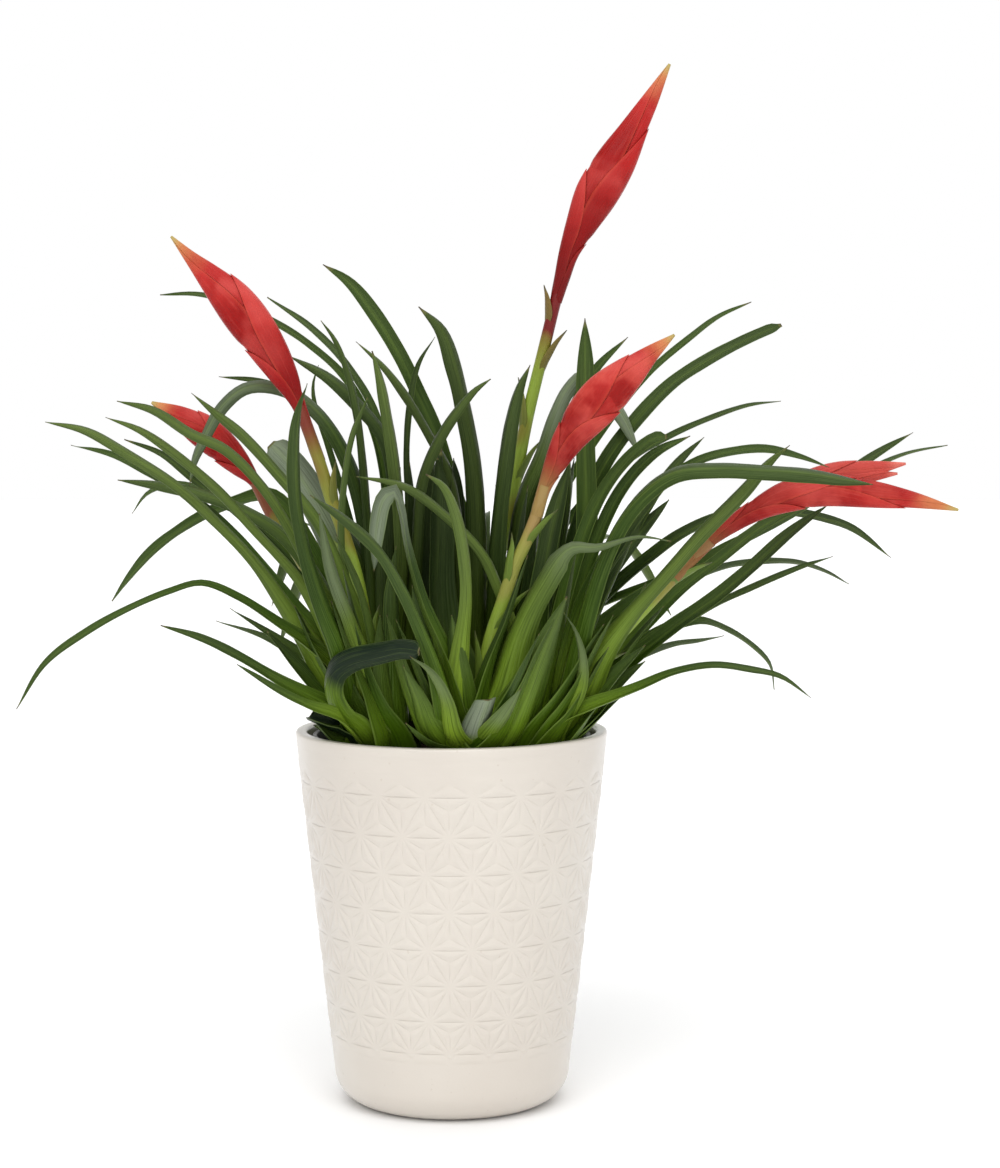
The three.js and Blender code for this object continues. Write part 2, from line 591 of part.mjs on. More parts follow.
function bladeLie(line, roll) {
  const clasp = line.getPoint(0).sub(line.clasped).setZ(0).normalize();
  const round = new THREE.Vector3(0, 0, 1).cross(clasp);
  const across = bladeAcross(line);
  const turn = THREE.MathUtils.degToRad(roll) * Math.sign(across.y);
  const rolled = (along) => squared(across, along).applyAxisAngle(along, turn);
  const way = Math.sign(rolled(line.getTangentAt(0.3)).dot(round)) || 1;
  return (u) => {
    const along = line.getTangentAt(u);
    const share = THREE.MathUtils.smoothstep(u, ...CLASP_RELEASE);
    return squared(round.clone().lerp(rolled(along).multiplyScalar(way), share), along);
  };
}

// The part of a direction that is square to another, at unit length.
function squared(direction, along) {
  return direction.clone().addScaledVector(along, -direction.dot(along)).normalize();
}

// Where a blade's sections stand, as shares of its length: closer together where it bends.
const STATION_SAMPLES = 48;

function bladeStations(line) {
  const length = line.getLength() / STATION_SAMPLES;
  const costs = [0];
  for (let i = 1; i <= STATION_SAMPLES; i += 1) {
    const before = line.getTangentAt((i - 1) / STATION_SAMPLES);
    const turn = THREE.MathUtils.radToDeg(before.angleTo(line.getTangentAt(i / STATION_SAMPLES)));
    costs.push(costs[i - 1] + length / BLADE_STRAIGHT_STEP + turn / BLADE_BEND_STEP);
  }
  const total = costs[STATION_SAMPLES];
  const steps = THREE.MathUtils.clamp(Math.round(total), ...BLADE_STEPS);
  return Array.from({ length: steps + 1 }, (_, k) => {
    const wanted = (k / steps) * total - 1e-9;
    return Math.max(0, costs.findIndex((cost) => cost >= wanted)) / STATION_SAMPLES;
  });
}

function blade(line, width, roll, isBlunt) {
  const lie = bladeLie(line, roll);
  return lofted(bladeStations(line).map((u) => {
    const place = line.getPointAt(u);
    const side = lie(u);
    const up = line.getTangentAt(u).cross(side);
    const half = (width / 2) * taper(u, isBlunt);
    const lift = width * GUTTER_DEPTH * taper(u, isBlunt);
    const thick = (BLADE_THICKNESS / 2) * THREE.MathUtils.lerp(TIP_THINNING, 1, taper(u, isBlunt));
    return [
      place.clone().addScaledVector(side, half).addScaledVector(up, lift),
      place.clone().addScaledVector(up, thick),
      place.clone().addScaledVector(side, -half).addScaledVector(up, lift),
      place.clone().addScaledVector(up, -thick),
    ];
  }));
}

function leafSolids({ place, leaves, hidden }) {
  return [...leaves, ...hidden].map((spec) => (
    blade(leafLine(place, spec), spec.width, spec.roll ?? 0, spec.blunt)
  ));
}

function rosette(spec) {
  const stem = revolved([
    [0, STEM_FOOT_Z],
    [STEM_RADIUS, STEM_FOOT_Z],
    [STEM_RADIUS, STEM_SHOULDER_Z],
    [STEM_TIP_RADIUS, STEM_TIP_Z],
    [0, STEM_TIP_Z],
  ], STEM_SIDES).translate([...spec.place, 0]);
  const bore = column(SCAPE_BORE_RADIUS, SCAPE_BORE_FLOOR, SCAPE_BORE_TOP, STEM_SIDES, spec.place);
  return whole([wasm.Manifold.union([stem, ...leafSolids(spec)]).subtract(bore)]);
}

// ---------------------------------------------------------------- flower spikes

// The stalk's middle line, from the floor of its bore up to the sword's neck.
function scapeLine(place, { scape, sword: [neck], depth }) {
  const foot = new THREE.Vector3(place[0], place[1], SCAPE_BORE_FLOOR + SEAT_GAP);
  const drawn = drawnPoints(foot, { points: [...scape, neck.slice(0, 2)], depth: depth[0] });
  const straight = SCAPE_STRAIGHT.map((z) => foot.clone().setZ(z));
  return new THREE.CatmullRomCurve3([foot, ...straight, ...drawn], false, 'centripetal');
}

// Two directions square to the line: one in the drawing's plane, one towards its front.
function squareTo(along) {
  const outward = new THREE.Vector3(0, -1, 0);
  outward.addScaledVector(along, -outward.dot(along)).normalize();
  return [along.clone().cross(outward), outward];
}

// The stalk ends square to the sword's neck, a small gap below it.
function scape(place, spec) {
  const line = scapeLine(place, spec);
  const steps = Math.round(line.getLength() / SCAPE_STEP);
  const rings = [];
  for (let i = 0; i < steps; i += 1) {
    const radius = THREE.MathUtils.lerp(SCAPE_FOOT_RADIUS, SCAPE_NECK_RADIUS, i / steps);
    const [side, outward] = squareTo(line.getTangentAt(i / steps));
    rings.push(ringAround(line.getPointAt(i / steps), side, outward, radius, radius, SCAPE_SIDES));
  }
  const up = swordLine(spec).getTangent(0);
  const neck = line.getPoint(1).addScaledVector(up, -NECK_GAP);
  rings.push(ringAround(neck, ...squareTo(up), SCAPE_NECK_RADIUS, SCAPE_NECK_RADIUS, SCAPE_SIDES));
  const sheaths = spec.sheaths.map((sheath) => scapeSheath(line, sheath));
  return whole([lofted(rings), ...sheaths]);
}

function ringAround(place, side, outward, halfWidth, halfDepth, sides) {
  return Array.from({ length: sides }, (_, i) => {
    const angle = (2 * Math.PI * i) / sides;
    return place.clone()
      .addScaledVector(side, halfWidth * Math.cos(angle))
      .addScaledVector(outward, halfDepth * Math.sin(angle));
  });
}

// A pointed bract that hugs the stalk and stands off it at its tip. Profile: [share of its length,
// how far out it is, half width], where HUG is the stalk's skin and 1 is the full stand-off.
const SHEATH_SHAPE = [[0, 0.3, 0.2], [0.35, 0.55, 1], [0.7, 0.75, 0.7], [1, 1, 0.1]];
const HUG = 0.55;
const SHEATH_WRAP = 0.7;

function scapeSheath(line, [share, length, sign, standOff]) {
  const total = line.getLength();
  const rings = SHEATH_SHAPE.map(([run, off, wide]) => {
    const u = Math.min(0.99, share + (run * length) / total);
    const [side, outward] = squareTo(line.getTangentAt(u));
    side.multiplyScalar(sign);
    const hug = SCAPE_NECK_RADIUS * Math.min(off / HUG, 1);
    const reach = hug + standOff * Math.max(0, (off - HUG) / (1 - HUG));
    const place = line.getPointAt(u).addScaledVector(side, reach);
    const half = SCAPE_FOOT_RADIUS * wide;
    return [
      place.clone().addScaledVector(outward, half).addScaledVector(side, -half * SHEATH_WRAP),
      place.clone().addScaledVector(side, SHEATH_THICKNESS / 2),
      place.clone().addScaledVector(outward, -half).addScaledVector(side, -half * SHEATH_WRAP),
      place.clone().addScaledVector(side, -SHEATH_THICKNESS / 2),
    ];
  });
  return lofted(rings);
}

// The sword: a slim core with two ranks of boat-shaped bracts, keels to the left and right.
// Profile of a bract: [share of its length, keel's reach, half depth], as shares of the sword's own
// half width and half depth there.
const BRACT_SHAPE = [[0, 0.4, 0.3], [0.3, 0.92, 0.9], [0.65, 1.02, 0.9], [1, 0.8, 0.08]];
const BRACT_OVERLAP = 2.6;

function swordLine({ sword: outline, depth: [neck, tip] }) {
  const last = outline.length - 1;
  const points = outline.map(([x, z], i) => standing(x, z, THREE.MathUtils.lerp(neck, tip, i / last)));
  return new THREE.CatmullRomCurve3(points, false, 'centripetal');
}

function sword(spec) {
  const { sword: outline, bracts } = spec;
  const last = outline.length - 1;
  const line = swordLine(spec);
  const halfWidth = (u) => {
    const at = u * last;
    const i = Math.min(Math.floor(at), last - 1);
    return THREE.MathUtils.lerp(outline[i][2], outline[i + 1][2], at - i);
  };
  const core = [0, 0.35, 0.7, 1].map((u) => {
    const [side, outward] = squareTo(line.getTangent(u));
    const half = halfWidth(u) * CORE_SHARE;
    return ringAround(line.getPoint(u), side, outward, half, half * SPIKE_THICKNESS, 4);
  });
  const pieces = [lofted(core)];
  const step = 1 / (bracts + BRACT_OVERLAP - 1);
  for (let k = 0; k < bracts; k += 1) {
    pieces.push(swordBract(line, halfWidth, k * step, BRACT_OVERLAP * step, k % 2 ? 1 : -1));
  }
  return whole(pieces);
}

function swordBract(line, halfWidth, start, length, sign) {
  const rings = BRACT_SHAPE.map(([run, keel, deep]) => {
    const u = start + run * length;
    const [side, outward] = squareTo(line.getTangent(u));
    side.multiplyScalar(sign);
    const half = halfWidth(u);
    const thick = half * SPIKE_THICKNESS * deep;
    const place = line.getPoint(u);
    return [
      place.clone().addScaledVector(side, half * keel),
      place.clone().addScaledVector(side, half * BRACT_FACE).addScaledVector(outward, thick),
      place.clone().addScaledVector(side, -half * BRACT_BACK * deep),
      place.clone().addScaledVector(side, half * BRACT_FACE).addScaledVector(outward, -thick),
    ];
  });
  return lofted(rings);
}

// ---------------------------------------------------------------- assembly

const bromeliad = new THREE.Group();
bromeliad.add(meshOf('cover_pot', coverPot(), GLAZE));
bromeliad.add(meshOf('grow_pot', growPot(), BLACK_PLASTIC));
bromeliad.add(meshOf('potting_soil', pottingSoil(), SOIL));
for (const [name, spec] of Object.entries(ROSETTES)) {
  bromeliad.add(meshOf(`rosette_${name}`, rosette(spec), LEAF_GREEN));
}
for (const [name, spec] of Object.entries(SPIKES)) {
  const { place } = ROSETTES[name];
  const heads = [sword(spec)];
  if (spec.side) heads.push(sword(spec.side));
  bromeliad.add(meshOf(`scape_${name}`, scape(place, spec), STALK_GREEN));
  bromeliad.add(meshOf(`sword_${name}`, whole(heads), SWORD_RED));
}

export default bromeliad;
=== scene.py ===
"""Flaming sword bromeliad in a glazed cover pot with star relief: the finished look.

The lists of leaves and spikes are in millimetres, as the model is drawn; every mesh is in metres.
+Z is up, -Y is the front, and the origin is the middle of the pot's underside.
"""
import math
from collections import namedtuple

import bmesh
import bpy
import numpy as np
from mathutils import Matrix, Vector


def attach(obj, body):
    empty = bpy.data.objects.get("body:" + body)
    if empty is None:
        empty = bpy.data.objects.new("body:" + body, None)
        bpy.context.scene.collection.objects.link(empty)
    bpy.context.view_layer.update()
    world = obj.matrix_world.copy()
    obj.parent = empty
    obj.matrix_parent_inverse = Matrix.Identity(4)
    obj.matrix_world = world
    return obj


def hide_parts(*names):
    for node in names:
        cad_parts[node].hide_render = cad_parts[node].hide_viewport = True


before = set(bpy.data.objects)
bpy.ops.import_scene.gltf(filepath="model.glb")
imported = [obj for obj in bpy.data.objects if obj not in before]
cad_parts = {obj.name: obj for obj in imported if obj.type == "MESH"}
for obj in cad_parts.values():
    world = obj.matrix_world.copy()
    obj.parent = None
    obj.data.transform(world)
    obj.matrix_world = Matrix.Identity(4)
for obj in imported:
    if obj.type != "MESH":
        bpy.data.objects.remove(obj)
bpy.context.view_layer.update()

MM = 0.001
UP = np.array([0.0, 0.0, 1.0])

# ---------------------------------------------------------------- driving dimensions, millimetres

# Cover pot.
POT_HEIGHT = 162.5
FOOT_FLAT_RADIUS = 36
FOOT_ROUNDING = 15
FOOT_EASING = 0.3
FOOT_BAND_Z = 21
WALL_BASE_RADIUS = 51.3
WALL_TOP_RADIUS = 66.6
WALL_TOP_Z = 152
RIM_RADIUS = 67.5
RIM_LIP_Z = 157
RIM_LINE = 0.8
RIM_LINE_DEPTH = 0.12
RIM_ROUNDING = 1.2
MOUTH_RADIUS = 62.5
MOUTH_ROUNDING = 1.6
POT_WALL = 5
POT_FLOOR = 6
FLOOR_ROUNDING = 8

# Star relief: rows of star centres, every second row moved round by half a step.
STAR_ROWS = (31.5, 45.7, 61.1, 76.6, 92.5, 108.6, 124.8, 141.8)
STARS_ROUND = 20
STEP_WIDTH = 19
NET_FOOT_Z = 27
FACET_RISE = 0.32
GROOVE_DEPTH = 0.38
SLANT_SHARE = 0.6
STAR_CENTRE = 2.0
GROOVE_MEETING = 0.4
GROOVE_FADE = 3.0

# Nursery pot and the soil in it.
GROW_POT_FOOT_Z = 6.3
GROW_POT_WALL = 1.2
GROW_POT_BASE_RADIUS = 38
GROW_POT_TOP_RADIUS = 59.6
GROW_POT_RIM_Z = 160.5
GROW_POT_LIP = 0.8
GROW_POT_LIP_HEIGHT = 5
GROW_POT_LIP_ROUNDING = 0.5
GROW_POT_FOOT_ROUNDING = 2
SOIL_TOP_Z = 147
SOIL_PLAY = 0.4
SOIL_FLOOR_PLAY = 0.3
SOIL_BUMPS = (-0.6, 0.8)

# Stems, leaves and flower stalks.
STEM_RADIUS = 11
STEM_FOOT_Z = 126
STEM_SHOULDER_Z = 150
STEM_TIP_Z = 159
STEM_TIP_RADIUS = 6.5
SCAPE_FOOT_Z = 134.3
SCAPE_STRAIGHT = (150, 162)
SCAPE_FOOT_RADIUS = 3.4
SCAPE_NECK_RADIUS = 2.5
ROOT_RADIUS = 6.6
ROOT_OFFSET = 10
ROOT_Z = 138
COLLAR_SPREAD = 0.8
COLLAR_RISE = 3
LEAF_THICKNESS = 1.0
STATION_STEP = 3.2

# ---------------------------------------------------------------- the drawing of the plant

# Leaves and spikes are drawn in elevation: (x, z) is where a point lines up with the upright plane
# through the pot's axis for an eye at EYE, and each stands at its own depth (y).
EYE = np.array([21.0, -1200.0, 315.0])

Leaf = namedtuple("Leaf", "depth width roll points end")
Spread = namedtuple("Spread", "heading reach rise droop width")
Rosette = namedtuple("Rosette", "place leaves filling hidden", defaults=[()])


def leaf_kind(end):
    """Drawn leaves that end alike, from a tip's depth, width, roll to the front and points."""
    def drawn_leaf(depth, width, roll, *points):
        return Leaf(depth, width, roll, points, end)
    return drawn_leaf


leaf = leaf_kind("long")
blunt = leaf_kind("blunt")  # ends broad, as a broken or dried tip does
short = leaf_kind("short")  # stays broad nearly to its end
drawn_out = leaf_kind("drawn_out")  # narrows soon and runs out in a long thin tip
footed = leaf_kind("footed")  # has a broad foot and a narrow outer half

# Each rosette: its stem's place, the leaves that are drawn one by one, the filling leaves near its
# middle, and those hidden at the back, by heading in degrees, reach, rise, tip's droop and width.
ROSETTES = {
    "front": Rosette((8, -32), leaves=[
        leaf(-70, 12, 45, (6, 166), (7, 200), (8, 220), (6.5, 240), (3, 256), (-3, 268), (-11, 273)),
        leaf(-116, 8.5, 50, (0, 172), (-5, 188), (-12, 205), (-20, 222), (-31, 240), (-45, 253),
             (-61, 264)),
        short(-87, 10.5, 60, (-4, 190), (-14, 218), (-20, 242), (-22.5, 257), (-25.5, 265), (-29.5, 262),
             (-32.5, 250), (-33.5, 231)),
        short(-84, 10, 0, (-2, 160), (-4, 175), (-10, 187), (-18, 194)),
        blunt(-66, 11, 0, (11, 158), (13, 166), (16, 175)),
        short(-66, 13, 0, (19, 160), (24, 168), (30, 180)),
        drawn_out(-60, 14, 60, (14, 169), (19, 178), (28, 204), (39, 225), (51, 241), (63, 241.5),
             (81, 246), (95, 244)),
        leaf(-70, 12, 0, (-10, 160), (-15, 175), (-21, 190)),
    ], filling=[
        leaf(-60, 14, 0, (-3, 160), (-8, 178), (-14, 200), (-17, 225)),
        leaf(-62, 10, 0, (-14, 158), (-20, 165)),
        leaf(-58, 13, 0, (24, 160), (30, 176), (38, 196), (47, 214)),
        leaf(-48, 12, 0, (14, 165), (18, 190), (26, 214), (33, 238)),
        leaf(-4, 22, 0, (-2, 170), (-6, 195), (-7, 222), (-6, 250), (-6, 280)),
        leaf(-61, 14, 0, (-5, 156), (-9, 168), (-16, 188), (-24, 210)),
        leaf(-60, 13, 0, (3, 156), (3, 170), (2, 190), (0, 212)),
        leaf(-58, 14, 0, (-12, 158), (-18, 172), (-24, 192), (-28, 212)),
        leaf(-60, 14, 0, (24, 158), (31, 174), (40, 196), (50, 220)),
        leaf(-62, 14, 0, (20, 156), (25, 168), (31, 186), (38, 204)),
    ]),
    "left": Rosette((-33, -18), leaves=[
        footed(-55, 9, 45, (-48, 182), (-62, 198), (-75, 207.5), (-92, 219), (-108, 225.5), (-122, 222),
             (-140, 214.5), (-158, 204.5), (-176, 191), (-189, 171)),
        leaf(-68, 6.2, 40, (-48, 167), (-57, 173), (-75, 183), (-92, 193.5), (-108, 201.5),
             (-126, 207.5)),
        leaf(-86, 5, 45, (-48, 167), (-62, 172.5), (-75, 179), (-93, 190.5)),
        leaf(-11, 6.2, 50, (-46, 180), (-60, 191), (-78, 203), (-96, 215)),
        leaf(22, 6, 40, (-50, 179), (-66, 192), (-80, 201.5), (-102, 209.5)),
        footed(-33, 12, 65, (-45, 175), (-58, 196), (-70, 214), (-84, 234), (-100, 251), (-118, 267.5),
             (-140, 282), (-158, 292), (-175, 295.5)),
        footed(22, 10, 55, (-46, 185), (-70, 218), (-92, 245), (-112, 263), (-128, 271.5), (-146, 281),
             (-164, 285.5)),
        footed(-66, 11, 65, (-40, 180), (-52, 205), (-66, 228), (-84, 248), (-100, 265.5), (-118, 281),
             (-134, 292), (-149, 297.5)),
        footed(-88, 12, 65, (-38, 185), (-50, 212), (-66, 243), (-80, 266), (-97, 283.5), (-112, 290.5),
             (-128, 300.5), (-144, 304.5)),
        footed(-44, 13, 65, (-34, 190), (-45, 225), (-58, 253), (-74, 272.5), (-90, 290), (-101, 299),
             (-112, 308)),
        leaf(-106, 9.5, 65, (-44, 190), (-54, 214), (-62, 238), (-66.5, 262), (-67, 285), (-65.5, 300),
             (-62, 312)),
        blunt(-82, 11, 60, (-42, 160), (-50, 168), (-54, 178), (-52, 187), (-45, 192), (-33, 195),
             (-22, 197), (-14, 196)),
        leaf(-55, 8, 40, (-30, 185), (-34, 205), (-40, 226), (-50, 247)),
        leaf(-71, 11, 60, (-34, 185), (-42, 207), (-50, 228), (-57, 256)),
        footed(-27, 10, 55, (-40, 200), (-48, 240), (-47, 268), (-43, 290), (-36, 306)),
    ], filling=[
        leaf(-60, 14, 0, (-27, 160), (-35, 178), (-43, 196), (-52, 218)),
        leaf(-52, 13, 0, (-21, 160), (-22, 178), (-24, 200), (-25, 222), (-24, 242)),
        blunt(-20, 19, 10, (-44, 159), (-53, 163.5), (-62, 167.5)),
        leaf(-40, 14, 0, (-40, 164), (-50, 178), (-60, 196), (-68, 216)),
        leaf(-30, 12, 20, (-46, 166), (-56, 176), (-68, 190), (-80, 205)),
        leaf(10, 13, 40, (-44, 172), (-52, 196), (-60, 222), (-66, 244)),
        leaf(-46, 10, 0, (-32, 162), (-36, 184), (-42, 208), (-47, 232)),
        leaf(-50, 15, 0, (-38, 157), (-43, 168), (-48, 184), (-52, 200)),
        leaf(-54, 15, 0, (-30, 157), (-35, 172), (-40, 192), (-44, 212)),
        leaf(-52, 14, 0, (-24, 157), (-26, 170), (-29, 190), (-31, 212)),
        short(-30, 18, 10, (-44, 155), (-52, 158), (-60, 166)),
        short(-12, 18, 10, (-44, 155), (-51, 158), (-60, 164)),
        short(4, 15, 20, (-46, 158), (-54, 166), (-60, 177)),
    ]),
    "left_back": Rosette((-28, 20), leaves=[
        leaf(86, 10.5, 55, (-45, 200), (-62, 240), (-78, 262.5), (-95, 259.5), (-112, 251.5),
             (-128, 240), (-140, 227), (-147, 218)),
        leaf(68, 7, 50, (-42, 190), (-60, 225), (-82, 250), (-103, 264), (-120, 268), (-131, 264.5),
             (-138, 256)),
        leaf(1, 8, 65, (-42, 195), (-58, 228), (-73, 247), (-90, 257.5), (-108, 264.5), (-128, 268.5),
             (-144, 270.5)),
        footed(10, 10, 50, (-45, 200), (-70, 233), (-95, 258), (-112, 271), (-125, 281.5), (-141, 288)),
        leaf(68, 5.5, 50, (-27, 230), (-32, 285), (-45, 313), (-62, 329), (-77, 338.5), (-93, 346),
             (-109, 350), (-125, 350)),
        leaf(96, 7, 40, (-26, 240), (-32, 295), (-45, 319), (-60, 335), (-79, 349)),
        leaf(39, 6, 50, (-30, 200), (-36, 240), (-48, 280), (-62, 303), (-80, 312), (-100, 315)),
        leaf(5, 8.5, 66, (-32, 220), (-36, 250), (-44, 278), (-57, 299), (-72, 309.5), (-88, 310.5),
             (-99, 302), (-106, 290), (-111, 279), (-113, 268)),
        blunt(4, 17, 78, (-38, 220), (-50, 246), (-60, 264), (-69, 277), (-78, 286)),
        leaf(10, 9, 55, (-22, 240), (-28, 287), (-40, 303), (-53, 315), (-70, 324)),
        leaf(1, 5.5, 55, (-34, 230), (-38, 280), (-40.5, 300), (-45, 319), (-50, 331), (-56, 339)),
        leaf(58, 4.5, 40, (-40, 235), (-53, 284), (-59, 303), (-59.5, 312), (-57, 320)),
        leaf(-28, 10, 65, (-20, 235), (-23, 270), (-26, 292), (-30, 313), (-34, 326)),
        leaf(54, 4.5, 40, (-18, 250), (-19, 283), (-17.5, 303), (-14, 320), (-7, 332)),
        leaf(16, 13, 60, (-19, 195), (-15, 232), (-9, 262), (-4, 284)),
        leaf(-22, 8, 65, (-16, 240), (-13, 270), (-5, 289), (3, 301), (10, 309), (17, 314)),
    ], filling=[
        leaf(14, 13, 0, (-12, 175), (-15, 201), (-16, 223), (-16, 242), (-16.5, 262), (-18, 278)),
        leaf(2, 14, 0, (-27, 180), (-30, 205), (-31, 222), (-30, 244), (-27, 268)),
        leaf(30, 15, 20, (-36, 178), (-44, 205), (-50, 232), (-56, 258)),
        leaf(10, 15, 60, (-18, 178), (-20, 204), (-22, 226), (-22, 250), (-22, 276)),
        leaf(8, 17, 66, (-12, 178), (-10, 204), (-8, 230), (-7, 256), (-8, 282)),
        Spread(150, 30, 55, 4, 13),
        Spread(185, 28, 48, 4, 13),
        Spread(215, 26, 60, 4, 13),
    ], hidden=[
        Spread(104, 120, 95, 35, 9),
        Spread(116, 130, 80, 40, 9),
        Spread(111, 80, 60, 15, 8),
        Spread(124, 105, 100, 40, 9),
    ]),
    "back": Rosette((12, 32), leaves=[
        leaf(62, 10.5, 65, (8, 230), (-3, 275), (-8, 292), (-14, 306), (-22, 323), (-33, 341),
             (-44, 355), (-55, 363)),
        leaf(20, 7, 45, (5, 240), (0, 272), (-8, 288), (-20, 308), (-30, 320.5), (-41, 330)),
        leaf(13, 11.5, 65, (12, 220), (12, 250), (10, 278), (6.5, 298), (2, 318), (-4, 335),
             (-14, 345)),
        leaf(-14, 12, 65, (17, 225), (19, 250), (22, 274), (25, 295), (29, 310), (34, 320)),
        leaf(19, 8, 65, (30, 200), (46, 235), (51, 262), (51, 285)),
        leaf(17, 13, 60, (3, 190), (-2, 222), (-6, 250), (-8, 270)),
        leaf(47, 8, 55, (24, 220), (38, 265), (50, 295), (62, 317), (76, 332)),
        leaf(85, 5.8, 50, (26, 210), (45, 258), (65, 291), (85, 316), (103, 331.5), (115, 340.5),
             (129, 347)),
        short(18, 11, 50, (24, 225), (30, 262), (38, 281), (44, 298), (50, 310), (57, 316), (66, 308),
             (74, 298), (81, 282)),
        leaf(66, 5.5, 45, (30, 215), (55, 258), (76, 278), (95, 289.5), (112, 297), (128, 302.5),
             (142, 304.5)),
        leaf(57, 8, 65, (32, 190), (60, 218), (72, 236), (84, 256), (95, 274)),
        leaf(57, 8.5, 45, (40, 190), (70, 222), (86, 236), (100, 246.5), (116, 254), (132, 257),
             (147, 256), (160, 253.5), (173, 249), (190, 237)),
        leaf(62, 5, 45, (38, 200), (110, 235), (150, 262), (180, 275), (197, 282), (214, 285.5)),
    ], filling=[
        leaf(22, 17, 60, (-4, 175), (-3.5, 201), (-3.5, 227), (-4, 249), (-5, 270), (-7, 290)),
        leaf(20, 14, 0, (8, 175), (12.5, 197), (17.5, 223), (21, 253), (24.5, 283), (27, 305)),
        leaf(16, 13, 0, (30, 178), (33, 202), (35, 227), (37, 250), (39, 272)),
        leaf(22, 11, 0, (38, 182), (43, 205), (47, 228), (50.5, 254), (53, 280)),
        leaf(24, 22, 60, (1, 175), (0, 201), (0, 227), (0, 249), (1, 280)),
        leaf(10, 14, 50, (22, 175), (25, 201), (28, 227), (31, 249), (33, 268)),
        Spread(-10, 30, 50, 4, 13),
        Spread(15, 30, 55, 4, 13),
        Spread(180, 26, 60, 4, 13),
    ], hidden=[
        Spread(52, 150, 92, 40, 9),
        Spread(66, 120, 100, 30, 10),
        Spread(81, 150, 80, 45, 9),
        Spread(94, 125, 98, 35, 10),
        Spread(59, 90, 65, 15, 9),
        Spread(75, 75, 60, 15, 9),
        Spread(88, 60, 105, 8, 10),
    ]),
    "right": Rosette((38, -13), leaves=[
        leaf(-26, 6.5, 50, (36, 180), (28, 207), (21, 224), (14, 238.5), (1.5, 252), (-20, 268),
             (-41, 272)),
        leaf(16, 12, 65, (44, 180), (52, 202), (57, 225), (58, 250), (57.5, 290), (57.5, 318),
             (57.5, 340)),
        blunt(38, 7.5, 65, (48, 215), (57, 255), (67, 278), (80, 296), (95, 311.5), (110, 321.5),
             (126, 330), (142, 337)),
        blunt(-6, 7.3, 65, (46, 200), (54, 235), (64, 262), (76, 279), (88, 288.5), (93, 289)),
        leaf(-2, 9.5, 55, (52, 205), (62, 240), (74, 266), (88, 281.5), (103, 289.5)),
        leaf(49, 8, 65, (56, 210), (74, 245), (90, 267), (99, 279), (109, 289)),
        leaf(-83, 10.5, 45, (54, 205), (66, 240), (80, 262), (96, 273.5), (115, 275.5), (135, 274.5),
             (155, 273), (170, 270.5), (182, 268.5)),
        leaf(-57, 6.5, 45, (57, 216), (85, 262), (106, 278), (122, 282.5), (136, 283.5), (150, 280.5),
             (163, 276)),
        footed(-58, 16, 65, (48, 168), (60, 190), (77, 212), (91, 227.5), (108, 247), (126, 265.5),
             (138, 279), (146, 285.5)),
        leaf(45, 7.5, 55, (60, 200), (110, 235), (150, 257), (180, 279), (199, 291)),
        leaf(5, 8.8, 65, (50, 163), (62, 177), (78, 191.5), (96, 206), (114, 219), (130, 232.5),
             (146, 247), (163, 260)),
        leaf(20, 7.8, 65, (52, 175), (66, 190), (82, 205), (99, 222.5), (116, 236), (134, 250),
             (153, 260)),
        leaf(42, 5.5, 50, (58, 172), (75, 188), (92, 202), (111, 214.5), (131, 224), (151, 232.5),
             (165, 237.5)),
        leaf(82, 7, 40, (56, 180), (75, 203), (95, 222), (116, 232), (131, 234.5), (149, 234.5),
             (161, 231), (172, 225.5)),
        leaf(64, 7, 45, (54, 175), (68, 190), (85, 201.5), (98, 207.5), (109, 209), (120, 205),
             (130, 198.5), (138, 190), (140, 179.5)),
        leaf(71, 6.5, 40, (60, 175), (78, 191), (95, 198.5), (107, 200.5), (118, 203)),
        leaf(-67, 5, 40, (50, 166), (59, 171), (70, 175.5), (82, 180.5), (97, 187), (114, 190),
             (130, 188), (143, 185), (156, 176)),
        leaf(7, 13, 60, (37, 185), (39, 220), (44, 250), (51, 278)),
        leaf(60, 12, 55, (46, 182), (60, 215), (76, 240), (94, 262)),
        leaf(-52, 7, 55, (43, 162), (49, 171), (55, 181), (56, 194), (53, 206), (48, 214)),
    ], filling=[
        leaf(-46, 14, 0, (34, 160), (37, 176), (42, 196), (49, 218)),
        leaf(-44, 14, 0, (46, 158), (52, 172), (60, 190), (70, 212)),
        leaf(-34, 13, 20, (54, 160), (61, 172), (71, 185), (84, 199)),
        leaf(-24, 11, 20, (58, 162), (66, 170), (76, 179)),
        leaf(-2, 13, 30, (58, 168), (68, 182), (80, 200), (92, 216)),
        leaf(4, 14, 30, (50, 175), (58, 198), (68, 222), (78, 244)),
        leaf(-36, 12, 0, (40, 162), (44, 186), (50, 214), (54, 240)),
        leaf(-47, 14, 0, (34, 156), (38, 170), (43, 190), (48, 212)),
        leaf(-44, 15, 0, (40, 157), (47, 172), (56, 190), (66, 208)),
        leaf(-40, 14, 0, (47, 157), (53, 168), (60, 182), (68, 198)),
        leaf(-20, 14, 20, (52, 159), (60, 168), (71, 180), (84, 192)),
        leaf(8, 14, 0, (44, 175), (50, 198), (57, 222), (62, 246)),
    ]),
}

